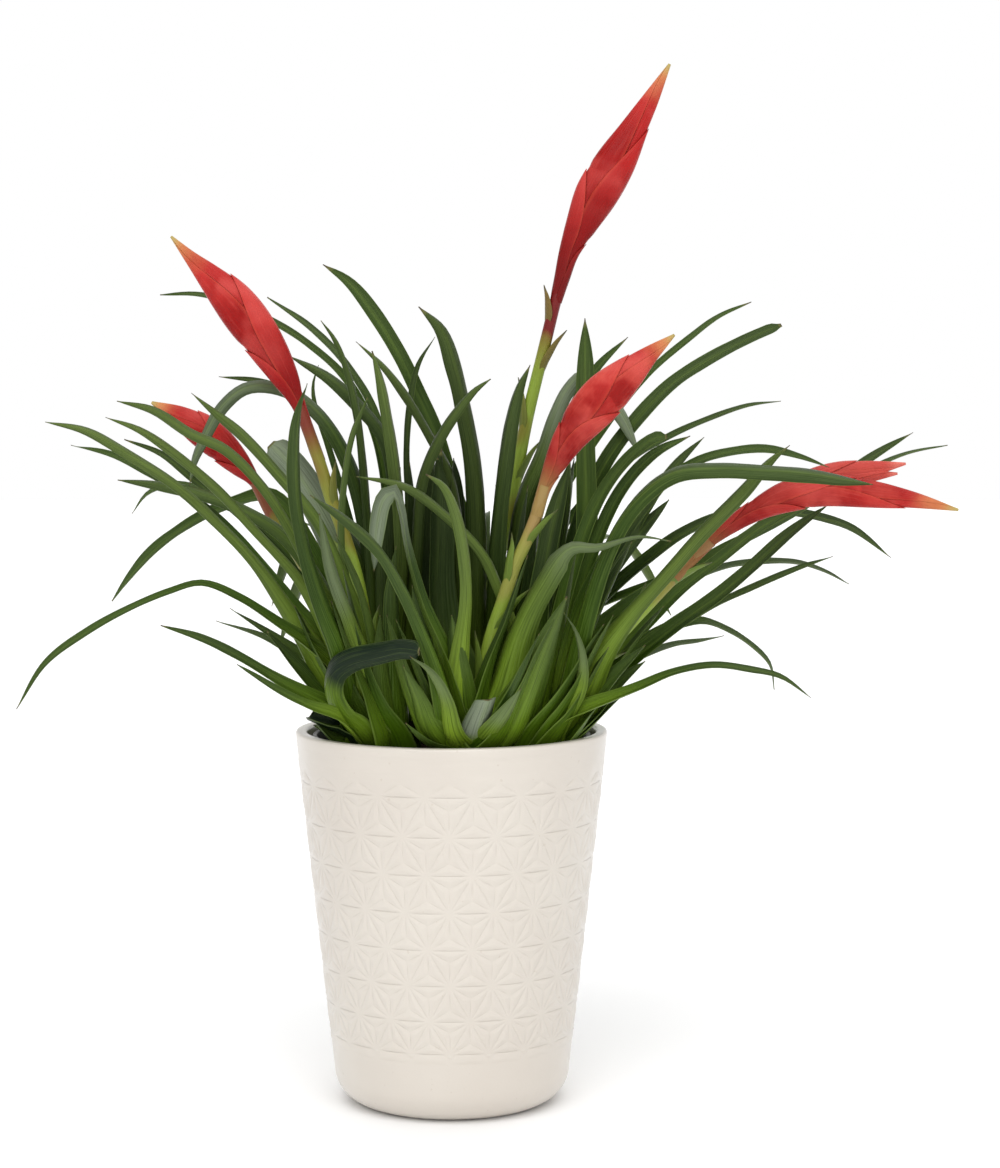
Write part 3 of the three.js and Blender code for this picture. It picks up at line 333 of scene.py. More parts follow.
# Each spike: the depths of its foot and tip, its stalk's points, sheaths (share of the stalk,
# length, side, how far the tip stands off), the sword's points with half widths, how many bracts it
# has, its neck's colour (0 red, 1 tan), and whether it is ripe enough to have an orange top.
SPIKES = {
    "back": {
        "depth": (36, 40),
        "scape": ((14, 200), (20, 235), (26, 262), (32.7, 297), (38.7, 322), (44.8, 347)),
        "sheaths": ((0.3, 26, 1, 5), (0.45, 30, -1, 5), (0.58, 24, 1, 5), (0.68, 26, -1, 5),
            (0.8, 24, 1, 5), (0.9, 18, -1, 4)),
        "sword": ((47.5, 357, 3.4), (50.5, 368, 4.4), (56, 380, 7.0), (62.5, 393, 9.4), (70, 406, 9.0),
            (78, 420, 6.2), (85.5, 433, 3.8), (93.5, 448, 0.6)),
        "bracts": 4, "neck": 0.0,
    },
    "left": {
        "depth": (-5, 0),
        "scape": ((-35, 190), (-41, 228), (-47.8, 251), (-52.1, 262.7), (-56.9, 278.3)),
        "sheaths": ((0.35, 22, 1, 4), (0.55, 22, -1, 4), (0.72, 22, 1, 4)),
        "sword": ((-65.4, 302, 2.9), (-71, 314, 5.7), (-79, 327.5, 8.1), (-88, 340, 9.3),
            (-96, 350, 8.2), (-104, 358.5, 5.6), (-112, 366.5, 2.8), (-120, 375, 0.5)),
        "bracts": 4, "neck": 0.1,
    },
    "left_back": {
        "depth": (27, 30),
        "scape": ((-38, 178), (-50, 205), (-64, 234), (-76.4, 253)),
        "sheaths": ((0.4, 22, -1, 4), (0.65, 22, 1, 4)),
        "sword": ((-84.6, 269.5, 2.6), (-90.5, 276.5, 5), (-98.5, 284.5, 7), (-107, 291.5, 7.4),
            (-117, 298, 5), (-129, 304, 0.6)),
        "bracts": 4, "neck": 0.25,
    },
    "front": {
        "depth": (-34, -38),
        "scape": ((14.5, 190), (17, 202), (21.9, 217), (28.4, 236), (31, 241), (36.6, 255)),
        "sheaths": ((0.35, 24, -1, 4), (0.5, 28, 1, 7), (0.66, 24, -1, 4), (0.8, 20, 1, 5)),
        "sword": ((40.4, 268, 2.8), (45.2, 278, 4.8), (50.8, 288, 6.7), (58, 298, 8.8), (66.3, 307, 9.4),
            (75.6, 315.8, 7.2), (85.5, 324.8, 3.8), (96, 333, 0.5)),
        "bracts": 5, "neck": 1.0,
    },
    "right": {
        "depth": (-20, -24),
        "scape": ((50, 178), (65, 195), (81.6, 213), (96.3, 228.5)),
        "sheaths": ((0.4, 24, 1, 4), (0.6, 24, -1, 4), (0.8, 22, 1, 4)),
        "sword": ((112, 244, 2.6), (122, 251.5, 3.5), (133, 258.3, 4.9), (146, 263.8, 6.7),
            (161, 266, 6.9), (179, 264.8, 6), (199, 261.8, 3.6), (219, 257.5, 0.5)),
        "bracts": 6, "neck": 0.6,
        "sides": [
            {
                "depth": (-19, -8),
                "sword": ((136, 260, 2.6), (148, 267, 4.6), (162, 272, 5.2), (177, 274.8, 4.2),
                    (187, 276.4, 2.4), (196, 277.6, 0.5)),
                "bracts": 3, "neck": 0.0, "ripe": 0.0,
            },
            {
                "depth": (-18, -10),
                "sword": ((158, 268.5, 2.2), (168, 270.5, 3.4), (180, 272, 2.8), (192.5, 273.2, 0.5)),
                "bracts": 2, "neck": 0.0, "ripe": 0.0,
            },
        ],
    },
}


# ---------------------------------------------------------------- lines and directions

LOOK_AHEAD = 0.01


def unit(vectors):
    """Vectors at unit length; like the next ones, it takes one vector or rows of them."""
    return vectors / np.linalg.norm(vectors, axis=-1, keepdims=True)


def squared(direction, along):
    """The part of a direction that is square to another, at unit length."""
    return unit(direction - np.sum(direction * along, axis=-1, keepdims=True) * along)


def blend(a, b, share):
    return a + (b - a) * share


def smoothstep(value, low, high):
    share = np.clip((value - low) / (high - low), 0, 1)
    return share * share * (3 - 2 * share)


class Line:
    """A smooth line through points, centripetal Catmull-Rom.

    A fourth number in the points, such as a half width, is carried along smoothly.
    """

    PER_SPAN = 30

    def __init__(self, points):
        knots = np.array(points, float)
        knots = np.vstack([2 * knots[0] - knots[1], knots, 2 * knots[-1] - knots[-2]])
        steps = np.linalg.norm(np.diff(knots[:, :3], axis=0), axis=1) ** 0.5
        t = np.linspace(0, 1, self.PER_SPAN, endpoint=False)[:, None]
        spans = []
        for i in range(1, len(knots) - 2):
            spans.append(self._span(knots[i - 1:i + 3], steps[i - 1:i + 2], t))
        self.places = np.vstack(spans + [knots[-2]])
        runs = np.linalg.norm(np.diff(self.places[:, :3], axis=0), axis=1)
        self.run = np.concatenate([[0], np.cumsum(runs)])
        self.length = self.run[-1]

    @staticmethod
    def _span(p, d, t):
        leave = ((p[1] - p[0]) / d[0] - (p[2] - p[0]) / (d[0] + d[1]) + (p[2] - p[1]) / d[1]) * d[1]
        arrive = ((p[2] - p[1]) / d[1] - (p[3] - p[1]) / (d[1] + d[2]) + (p[3] - p[2]) / d[2]) * d[1]
        square = -3 * p[1] + 3 * p[2] - 2 * leave - arrive
        cube = 2 * p[1] - 2 * p[2] + leave + arrive
        return p[1] + leave * t + square * t ** 2 + cube * t ** 3

    def at(self, share):
        """Places at shares of the line's length."""
        run = np.asarray(share) * self.length
        return np.stack([np.interp(run, self.run, column) for column in self.places.T], axis=-1)

    def along(self, share):
        """Directions at shares of the line's length."""
        ahead = self.at(np.clip(np.asarray(share) + LOOK_AHEAD, 0, 1))
        behind = self.at(np.clip(np.asarray(share) - LOOK_AHEAD, 0, 1))
        return unit((ahead - behind)[..., :3])


def standing(x, z, y):
    """The real place of a drawn point that stands at depth y."""
    reach = (y - EYE[1]) / -EYE[1]
    return EYE + reach * (np.array([x, 0.0, z]) - EYE)


def drawn_points(middle, points, depth, beside=0):
    """Depth runs evenly along the drawn line, from beside the stem's middle to the tip's depth."""
    start = middle[1] + (-beside if depth < middle[1] else beside)
    flat = np.array([(middle[0], middle[2]), *points], float)
    run = np.cumsum(np.linalg.norm(np.diff(flat, axis=0), axis=1))
    return [standing(x, z, blend(start, depth, share)) for (x, z), share in zip(points, run / run[-1])]


def square_to(along):
    """Two directions square to a line: one in the drawing's plane, one towards its front."""
    outward = squared(np.array([0.0, -1.0, 0.0]), along)
    return np.cross(along, outward), outward


def level_part(vector):
    return vector * (1, 1, 0)


# ---------------------------------------------------------------- building with nodes


class Value:
    """What comes out of a node. A sum with it adds a node to its tree."""

    def __init__(self, socket):
        self.socket = socket

    def __add__(self, other):
        return maths("ADD", self, other)

    def __sub__(self, other):
        return maths("SUBTRACT", self, other)

    def __rsub__(self, other):
        return maths("SUBTRACT", other, self)

    def __mul__(self, other):
        return maths("MULTIPLY", self, other)

    def __truediv__(self, other):
        return maths("DIVIDE", self, other)

    def __rtruediv__(self, other):
        return maths("DIVIDE", other, self)

    def __pow__(self, other):
        return maths("POWER", self, other)


def tree_of(*values):
    """The tree that holds the nodes these values come from."""
    return next(value.socket.id_data for value in values if isinstance(value, Value))


def add(tree, kind, inputs=None, **settings):
    """A node of a tree with its settings; each input is a plain value, or a Value to link to."""
    node = tree.nodes.new(kind)
    for name, value in settings.items():
        setattr(node, name, value)
    for key, value in (inputs or {}).items():
        if isinstance(value, Value):
            tree.links.new(value.socket, node.inputs[key])
        else:
            node.inputs[key].default_value = value
    return node


def result(tree, kind, inputs=None, output=0, **settings):
    return Value(add(tree, kind, inputs, **settings).outputs[output])


def maths(operation, *values, clamp=False):
    inputs = dict(enumerate(values))
    return result(tree_of(*values), "ShaderNodeMath", inputs, operation=operation, use_clamp=clamp)


def vector_maths(operation, a, b, output=0):
    """b is a second vector, or the factor when a is scaled."""
    key = "Scale" if operation == "SCALE" else 1
    return result(tree_of(a), "ShaderNodeVectorMath", {0: a, key: b}, output, operation=operation)


def combined(tree, x=0.0, y=0.0, z=0.0):
    return result(tree, "ShaderNodeCombineXYZ", {0: x, 1: y, 2: z})


def parted(vector):
    """The x, y and z of a vector."""
    return [Value(part) for part in add(tree_of(vector), "ShaderNodeSeparateXYZ", {0: vector}).outputs]


def noise(vector, scale, detail=2.0, roughness=0.5):
    return result(tree_of(vector), "ShaderNodeTexNoise", {
        "Vector": vector, "Scale": scale, "Detail": detail, "Roughness": roughness})


def new_geometry_tree(name, inputs):
    """A geometry tree with a geometry and named inputs, and the Values that come from them."""
    tree = bpy.data.node_groups.new(name, "GeometryNodeTree")
    for label, kind in {"Geometry": "Geometry", **inputs}.items():
        tree.interface.new_socket(label, in_out="INPUT", socket_type="NodeSocket" + kind)
    tree.interface.new_socket("Geometry", in_out="OUTPUT", socket_type="NodeSocketGeometry")
    outputs = add(tree, "NodeGroupInput").outputs
    return tree, {output.name: Value(output) for output in outputs if output.name}


def finish_tree(tree, geometry, material):
    """Every tree ends in real geometry that is smooth and has its material."""
    real = result(tree, "GeometryNodeRealizeInstances", {0: geometry})
    smooth = result(tree, "GeometryNodeSetShadeSmooth", {0: real})
    dressed = result(tree, "GeometryNodeSetMaterial", {0: smooth, "Material": material})
    add(tree, "NodeGroupOutput", {0: dressed})
    return tree


def named(tree, name, kind="FLOAT"):
    return result(tree, "GeometryNodeInputNamedAttribute", {"Name": name}, data_type=kind)


def stored(tree, geometry, name, value, kind="FLOAT"):
    return result(tree, "GeometryNodeStoreNamedAttribute",
                  {"Geometry": geometry, "Name": name, "Value": value}, data_type=kind, domain="POINT")


def grown(mesh, name, tree, values):
    """A piece: the tree's result on a mesh, as a plain mesh object at the origin."""
    draft = bpy.data.objects.new(name + "_draft", mesh)
    bpy.context.scene.collection.objects.link(draft)
    modifier = draft.modifiers.new("grow", "NODES")
    modifier.node_group = tree
    for item in tree.interface.items_tree:
        if item.in_out == "INPUT" and item.name in values:
            modifier[item.identifier] = values[item.name]
    depsgraph = bpy.context.evaluated_depsgraph_get()
    grown_mesh = bpy.data.meshes.new_from_object(draft.evaluated_get(depsgraph))
    draft.modifiers.remove(modifier)
    bpy.data.objects.remove(draft)
    return placed(grown_mesh, name)


def placed(mesh, name):
    """A piece from a finished mesh, its faces turned outward."""
    facing = bmesh.new()
    facing.from_mesh(mesh)
    bmesh.ops.recalc_face_normals(facing, faces=facing.faces)
    facing.to_mesh(mesh)
    facing.free()
    mesh.name = name
    piece = bpy.data.objects.new(name, mesh)
    bpy.context.scene.collection.objects.link(piece)
    return piece


def carried(piece, node):
    """The piece rides with the plant and stands for its solid."""
    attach(piece, "root")
    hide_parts(node)


def mesh_of(name, corners, faces=(), edges=()):
    """A mesh from corners in millimetres."""
    mesh = bpy.data.meshes.new(name)
    mesh.from_pydata([tuple(corner * MM) for corner in np.asarray(corners, float)], edges, faces)
    mesh.validate()
    return mesh


# ---------------------------------------------------------------- blades along spines

# A spine is a row of stations; each holds its place, the directions of the blade's width (side)
# and face (up), the half width, how far its margins are lifted, and the half thickness. Fold 1 is
# an open gutter, and fold 2 closes it like a boat's hull. The rest is for the finish: along is the
# share of its length, and tone sets one blade off from the next.
VECTOR_KEYS = ("side", "up")
LENGTH_KEYS = ("half", "lift", "thick")
PLAIN_KEYS = ("fold", "along", "rise", "tone", "dry", "tint")
UNSET = {"fold": 1.0}

# How each kind of blade is swept; "Wave scale" says how close the waves of its margins are.
LEAF_SWEEP = {"Section points": 20, "Gutter power": 1.7, "Margin wave": 1.6 * MM, "Wave scale": 45.0}
STALK_SWEEP = {"Section points": 20, "Gutter power": 2.0, "Margin wave": 0.6 * MM, "Wave scale": 90.0}
BRACT_SWEEP = {"Section points": 28, "Gutter power": 2.0, "Margin wave": 0.3 * MM, "Wave scale": 60.0}


def spine_mesh(name, spines):
    """Spines as chains of edges whose points carry their stations' values."""
    edges = []
    start = 0
    for spine in spines:
        count = len(spine["place"])
        edges += [(start + i, start + i + 1) for i in range(count - 1)]
        start += count
    mesh = mesh_of(name, np.vstack([spine["place"] for spine in spines]), edges=edges)
    for key in VECTOR_KEYS:
        rows = np.vstack([spine[key] for spine in spines])
        mesh.attributes.new(key, "FLOAT_VECTOR", "POINT").data.foreach_set("vector", rows.ravel())
    for key in LENGTH_KEYS + PLAIN_KEYS:
        scale = MM if key in LENGTH_KEYS else 1
        unset = UNSET.get(key, 0.0)
        values = [np.broadcast_to(spine.get(key, unset), len(spine["place"])) for spine in spines]
        values = np.concatenate(values).astype(float) * scale
        mesh.attributes.new(key, "FLOAT", "POINT").data.foreach_set("value", values)
    return mesh


def blade_tree():
    """Sweeps a thin section along every spine.

    Across the section, a runs from -1 to 1 from margin to margin, and s is 1 on the upper face and
    -1 on the lower one.
    """
    tree, given = new_geometry_tree("blades along spines", {
        "Section points": "Int", "Gutter power": "Float", "Margin wave": "Float",
        "Wave scale": "Float", "Finish": "Material"})
    spine = result(tree, "GeometryNodeMeshToCurve", {0: given["Geometry"]})
    here = result(tree, "GeometryNodeInputPosition")
    spine = stored(tree, spine, "spine", here, "FLOAT_VECTOR")
    ring = result(tree, "GeometryNodeCurvePrimitiveCircle",
                  {"Resolution": given["Section points"], "Radius": 1.0}, mode="RADIUS")
    ring = stored(tree, ring, "ring", here, "FLOAT_VECTOR")
    skin = result(tree, "GeometryNodeCurveToMesh",
                  {"Curve": spine, "Profile Curve": ring, "Fill Caps": True})

    a, s, _ = parted(named(tree, "ring", "FLOAT_VECTOR"))
    size = maths("MINIMUM", maths("ABSOLUTE", a), 1.0)
    sign = maths("SIGN", a)
    inner = 1.0 - size
    fold, power = named(tree, "fold"), given["Gutter power"]
    half, lift, thick = (named(tree, key) for key in LENGTH_KEYS)
    out = (1.0 - inner ** fold) * sign * half
    raised = size ** power * lift
    out_slope = inner ** (fold - 1.0) * fold * half
    raised_slope = size ** (power - 1.0) * power * lift * sign
    slope = maths("SQRT", out_slope * out_slope + raised_slope * raised_slope)
    offset = thick * s / maths("MAXIMUM", slope, 1e-7)
    out -= raised_slope * offset
    raised += out_slope * offset

    foot = named(tree, "spine", "FLOAT_VECTOR")
    wave = (noise(foot, given["Wave scale"], 1.0) - 0.5) * given["Margin wave"]
    raised += wave * (size * a)
    place = foot
    for key, way in (("side", out), ("up", raised)):
        step = vector_maths("SCALE", named(tree, key, "FLOAT_VECTOR"), way)
        place = vector_maths("ADD", place, step)
    skin = result(tree, "GeometryNodeSetPosition", {0: skin, "Position": place})
    skin = stored(tree, skin, "across", a)
    skin = stored(tree, skin, "face", s)
    return finish_tree(tree, skin, given["Finish"])


def tube(line, shares, radii, **finish):
    """A round spine: no gutter, as thick as it is wide."""
    side, outward = square_to(line.along(shares))
    return dict(place=line.at(shares)[:, :3], side=side, up=-outward, half=radii, lift=0.0,
                thick=radii, along=shares, **finish)


# ---------------------------------------------------------------- leaves

# Outline of a blade: broad where it clasps the stem, and drawn out to its tip. The widths are
# shares of the leaf's full width; BASE_RUN and ROOT_RUN are in millimetres.
ROOT_SHARE = 0.7
ROOT_RUN = 14
BASE_SHARE = 1.6
BASE_RUN = (20, 90)
TIP_SHARE = 0.05
BLUNT_FROM = 0.6
BLUNT_SHARE = 0.7
BLUNT_ROUNDING = 0.97
BLUNT_END = 0.1

# How each kind of leaf ends: the outer half's width, where along the leaf it narrows to that, and
# its point's length and fullness.
Ending = namedtuple("Ending", "outer narrows point fullness")
ENDINGS = {
    "long": Ending(0.7, (0.25, 0.8), 36, 2.4),
    "short": Ending(0.7, (0.25, 0.8), 24, 2.4),
    "drawn_out": Ending(0.7, (0.25, 0.8), 50, 0.5),
    "footed": Ending(0.38, (0.12, 0.58), 36, 2.4),
}
POINT_LIMIT = 0.6

# How a blade lies: its gutter's depth, its clasp, its bend and its own small turns in degrees.
GUTTER_DEPTH = 0.22
BASE_GUTTER = 0.32
GUTTER_OPENS = (0.1, 0.75)
THIN_MARGIN = 0.35
TIP_STATIONS = (0.975, 0.985, 0.993, 1.0)
FEWEST_STATIONS = 12
CLASP_RELEASE = (0.02, 0.25)
CLASP_LOOK = 0.3
BEND_WEIGHT = 0.03
BEND_SAMPLES = 13
SPREAD_SHAPE = ((0.16, 0.45), (0.4, 0.82), (0.68, 1))
TWIST = 7.0
TWIST_WAVES = (0.8, 1.6)

# How much of the tip is dry, and the brightest tone of a filling leaf, kept low as painted shade among the
# crowded leaves.
DRY_RUN = (0.004, 0.03)
BLUNT_DRY = 0.004
FILLING_TONE = 0.4

# The short stem: its play in the soil's hole, and how dry it looks.
STEM_SLACK = 0.5
STEM_DRY = 0.6

# Leaves that stand out from the rest, by rosette and place in its list: (tone, tint). Tint 1 is
# grey-green on the outer half and 2 all over, partly the leaf's bloom and partly a painted reflection
# of the light above; -1 is a dark leaf with a painted bluish sheen, and -3 is so from its foot, where
# its darkness is painted shade.
MARKED = {
    "front": {0: (1.0, 0.0), 2: (0.45, 0.8), 3: (0.8, 0.3), 4: (0.7, 1.25), 5: (0.6, 0.35),
              6: (0.6, 0.3)},
    "left": {0: (0.75, 0.0), 5: (0.85, 0.0), 6: (0.8, 0.0), 8: (0.75, 0.0), 11: (0.4, -1.0),
             13: (1.0, 0.5), 17: (0.0, -3.0)},
    "left_back": {7: (0.1, 0.4), 8: (0.5, 1.0)},
    "back": {8: (0.4, 0.75)},
    "right": {3: (0.9, 0.0), 4: (0.85, 0.0), 6: (0.1, 0.0), 8: (0.8, 0.0), 19: (0.8, 0.35)},
}


def leaf_line(place, spec):
    """The leaf's middle line, from inside the stem out to the tip."""
    middle = np.array([*place, ROOT_Z], float)
    if isinstance(spec, Leaf):
        points = drawn_points(middle, spec.points, spec.depth, ROOT_OFFSET)
    else:
        points = spread_points(middle, spec)
    out = unit(level_part(points[0] - middle))
    root = middle + ROOT_RADIUS * out
    collar = root + COLLAR_SPREAD * out
    collar[2] = SOIL_TOP_Z + COLLAR_RISE
    return Line([root, collar, *points])


def spread_points(middle, spec):
    angle = math.radians(spec.heading)
    out = spec.reach * np.array([math.cos(angle), math.sin(angle), 0])
    foot = np.array([middle[0], middle[1], SOIL_TOP_Z])
    shape = [foot + run * out + up * spec.rise * UP for run, up in SPREAD_SHAPE]
    return [*shape, foot + out + (spec.rise - spec.droop) * UP]


def taper(u, length, end):
    """Blade width along the leaf, as a share of its full width."""
    run = u * length
    base = blend(ROOT_SHARE, 1, smoothstep(run, 0, ROOT_RUN))
    base = base * blend(BASE_SHARE, 1, smoothstep(run, *BASE_RUN))
    if end == "blunt":
        narrowed = np.maximum(0, (u - BLUNT_FROM) / (1 - BLUNT_FROM))
        rounding = np.sqrt(np.maximum(BLUNT_END, 1 - smoothstep(u, BLUNT_ROUNDING, 1) ** 2))
        return base * blend(1, BLUNT_SHARE, narrowed) * rounding
    ending = ENDINGS[end]
    body = base * blend(1, ending.outer, smoothstep(u, *ending.narrows))
    reach = min(ending.point, POINT_LIMIT * length)
    point = np.maximum(0, 1 - (length - run) / reach)
    return body * np.maximum(TIP_SHARE, 1 - point ** ending.fullness)


def blade_across(line):
    """The level direction across a leaf; a strongly bent one is bent across its own plane."""
    samples = line.at(np.linspace(0, 1, BEND_SAMPLES)) - line.at(0)
    level = np.cross(UP, unit(level_part(samples[-1])))
    bend = np.cross(samples[:-1], samples[1:]).sum(axis=0)
    if bend @ level < 0:
        bend = -bend
    return unit(bend + BEND_WEIGHT * line.length ** 2 * level)


def turned(direction, along, degrees):
    """A direction turned about the line that it is square to."""
    angle = np.radians(degrees)[..., None]
    return direction * np.cos(angle) + np.cross(along, direction) * np.sin(angle)


def blade_lie(place, line, roll, u, twist):
    """The blade clasps the stem at its foot and turns to its own lie and roll further up."""
    clasp = unit(level_part(line.at(0) - (*place, 0)))
    around = np.cross(UP, clasp)
    across = blade_across(line)
    turn = roll * np.sign(across[1])

    def rolled(share, extra):
        along = line.along(share)
        return turned(squared(across, along), along, turn + np.asarray(extra, float))

    way = np.sign(rolled(CLASP_LOOK, 0) @ around) or 1
    share = smoothstep(u, *CLASP_RELEASE)[:, None]
    return squared(blend(around, way * rolled(u, twist), share), line.along(u))


def leaf_spine(place, spec, look, draw):
    """One blade's spine; draw gives its own small random turns."""
    line = leaf_line(place, spec)
    end, roll = (spec.end, spec.roll) if isinstance(spec, Leaf) else ("long", 0)
    stations = max(FEWEST_STATIONS, round(line.length / STATION_STEP))
    u = np.concatenate([np.linspace(0, TIP_STATIONS[0], stations, endpoint=False), TIP_STATIONS])
    twist = TWIST * draw.uniform(-1, 1) * np.sin(math.pi * u * draw.uniform(*TWIST_WAVES)) * u
    side = blade_lie(place, line, roll, u, twist)
    share = taper(u, line.length, end)
    gutter = GUTTER_DEPTH + BASE_GUTTER * (1 - smoothstep(u, *GUTTER_OPENS))
    dry_run = BLUNT_DRY if end == "blunt" else draw.uniform(*DRY_RUN)
    tone, tint = look
    return dict(
        place=line.at(u)[:, :3], side=side, up=np.cross(line.along(u), side),
        half=spec.width / 2 * share,
        lift=spec.width * gutter * share,
        thick=LEAF_THICKNESS / 2 * blend(THIN_MARGIN, 1, share),
        along=u, rise=u * line.length * MM, tone=tone, tint=tint,
        dry=smoothstep(u, 1 - dry_run, 1),
    )


def stem_spine(place):
    """The short stem that the leaves stand on, down in the soil."""
    heights = np.array([STEM_FOOT_Z, STEM_SHOULDER_Z, STEM_TIP_Z])
    radii = np.array([STEM_RADIUS, STEM_RADIUS, STEM_TIP_RADIUS]) - STEM_SLACK
    line = Line([(*place, height) for height in heights])
    return tube(line, (heights - heights[0]) / (heights[-1] - heights[0]), radii,
                rise=0.0, tone=0.0, dry=STEM_DRY)


def rosette(name, tree, finish):
    spec = ROSETTES[name]
    draw = np.random.default_rng(sum(map(ord, name)))
    spines = [stem_spine(spec.place)]
    outer = [*spec.leaves, *spec.hidden]
    for i, blade in enumerate([*outer, *spec.filling]):
        # filling leaves get darker tones, as painted shade among the crowded leaves
        tone = draw.uniform(0, 1 if i < len(outer) else FILLING_TONE)
        look = MARKED[name].get(i, (tone, 0.0))
        spines.append(leaf_spine(spec.place, blade, look, draw))
    piece = grown(spine_mesh(name, spines), "leaves_" + name, tree, dict(LEAF_SWEEP, Finish=finish))
    carried(piece, "rosette_" + name)


# ---------------------------------------------------------------- flower spikes

# Stalk sheaths: share of the length, how far out (HUG is the stalk's skin), and half width.
SHEATH_SHAPE = Line([(0, 0.3, 0.35), (0.35, 0.55, 1), (0.7, 0.75, 0.7), (1, 1, 0.06)])
HUG = 0.55
SHEATH_STATIONS = 16
SHEATH_LAST = 0.99
SHEATH_WRAP = 0.9
SHEATH_THICKNESS = 0.7
SHEATH_THIN = 0.4
SHEATH_DRY = 0.75
STALK_SKIN = 0.4

# Swords: a full core that is round at its neck and flat above, as shares of its half width.
SPIKE_THICKNESS = 0.56
NECK_THICKNESS = 0.95
NECK_RUN = 0.25
NECK_SLACK = 0.2
CORE_SHARE = 0.93
CORE_STATIONS = 40
CORE_TONE = 0.2

# Bracts in two ranks over the core, with their keels to the left and right. The shell is how far a
# bract stands off the core near its tip, and the tuck how much of that its very tip takes back.
BRACT_OVERLAP = 2.4
BRACT_STATIONS = 34
BRACT_THICKNESS = 0.3
BRACT_THIN = 0.6
BRACT_FOLD = 2.0
BRACT_SHELL = 0.7
BRACT_SHELL_FROM = 0.6
BRACT_SHELL_WIDTH = 5
BRACT_SHELL_FACE = 0.7
BRACT_TUCK = 0.9
BRACT_TUCK_FROM = 0.85
BRACT_WRAP = 1.25
BRACT_POINT = 0.3
BRACT_POINT_POWER = 2.4
BRACT_ROOT = 0.25
BRACT_ROOT_KEEL = 0.6
BRACT_ROOT_FACE = 0.8
BRACT_TIP_REACH = 0.02
LEAST_HALF = 0.15
LEAST_LIFT = 0.1


def scape_line(name):
    spec = SPIKES[name]
    x, y = ROSETTES[name].place
    foot = np.array([x, y, SCAPE_FOOT_Z])
    points = drawn_points(foot, [*spec["scape"], spec["sword"][0][:2]], spec["depth"][0])
    return Line([foot, *((x, y, height) for height in SCAPE_STRAIGHT), *points])


def sheath_spine(line, sheath, tone):
    """A pointed bract that hugs the stalk and stands off it at its tip."""
    share, length, sign, stand_off = sheath
    run = np.linspace(0, 1, SHEATH_STATIONS)
    off, wide = (np.interp(run, SHEATH_SHAPE.places[:, 0], SHEATH_SHAPE.places[:, k]) for k in (1, 2))
    u = np.minimum(SHEATH_LAST, share + run * length / line.length)
    side, outward = square_to(line.along(u))
    side = side * sign
    skin = blend(SCAPE_FOOT_RADIUS, SCAPE_NECK_RADIUS, u) + STALK_SKIN
    reach = skin * np.minimum(off / HUG, 1) + stand_off * np.maximum(0, (off - HUG) / (1 - HUG))
    half = SCAPE_FOOT_RADIUS * wide
    return dict(
        place=line.at(u)[:, :3] + side * reach[:, None],
        side=sign * outward, up=-side, half=half, lift=half * SHEATH_WRAP,
        thick=SHEATH_THICKNESS / 2 * blend(SHEATH_THIN, 1, wide),
        along=run, rise=u, tone=tone, dry=smoothstep(run, SHEATH_DRY, 1), tint=1.0,
    )


def scape(name, tree, finish):
    spec = SPIKES[name]
    line = scape_line(name)
    u = np.linspace(0, 1, round(line.length / STATION_STEP))
    radii = blend(SCAPE_FOOT_RADIUS, SCAPE_NECK_RADIUS, u)
    spines = [tube(line, u, radii, rise=u, tone=spec["neck"])]
    spines += [sheath_spine(line, sheath, spec["neck"]) for sheath in spec["sheaths"]]
    piece = grown(spine_mesh(name, spines), "stalk_" + name, tree, dict(STALK_SWEEP, Finish=finish))
    carried(piece, "scape_" + name)


def sword_axis(spec):
    """The sword's middle line, from its neck on the stalk; the fourth number is its half width."""
    last = len(spec["sword"]) - 1
    points = []
    if "scape" in spec:
        neck = standing(*spec["scape"][-1], spec["depth"][0])
        points.append((*neck, SCAPE_NECK_RADIUS + NECK_SLACK))
    for i, (x, z, half) in enumerate(spec["sword"]):
        points.append((*standing(x, z, blend(*spec["depth"], i / last)), half))
    return Line(points)


def spike_thickness(u):
    """Half thickness of a sword as a share of its half width: round at the neck, then flat."""
    return blend(NECK_THICKNESS, SPIKE_THICKNESS, smoothstep(u, 0, NECK_RUN))


def oval(share):
    """Half thickness of an oval section, where share runs from its edge to its middle line."""
    return np.sqrt(1 - (1 - np.clip(share, 0, 1)) ** 2)


def bract_spine(axis, end, length, sign, **finish):
    """A boat-shaped bract: its spine is its keel, and its margins reach over both faces."""
    run = np.linspace(max(0, 1 - end / length), 1, BRACT_STATIONS)
    u = end - (1 - run) * length
    ring = axis.at(u)
    width = ring[:, 3]
    side, outward = square_to(axis.along(u))
    side = side * sign
    shell = BRACT_SHELL * (run - BRACT_SHELL_FROM) * np.minimum(1, width / BRACT_SHELL_WIDTH)
    shell = shell * (1 - BRACT_TUCK * smoothstep(run, BRACT_TUCK_FROM, 1))
    rooted = smoothstep(run, 0, BRACT_ROOT)
    keel = width * blend(BRACT_ROOT_KEEL, 1, rooted) + shell
    point = np.maximum(0, (run - BRACT_POINT) / (1 - BRACT_POINT))
    reach = BRACT_WRAP * np.maximum(BRACT_TIP_REACH, 1 - point ** BRACT_POINT_POWER)
    face = spike_thickness(u) * width * oval(reach) * blend(BRACT_ROOT_FACE, 1, rooted)
    face = face + shell * BRACT_SHELL_FACE
    return dict(
        place=ring[:, :3] + side * keel[:, None],
        side=-sign * outward, up=-side,
        half=np.maximum(face, LEAST_HALF), lift=np.maximum(width * reach, LEAST_LIFT),
        thick=BRACT_THICKNESS / 2 * blend(1, BRACT_THIN, run),
        along=run, rise=u, fold=BRACT_FOLD, **finish,
    )


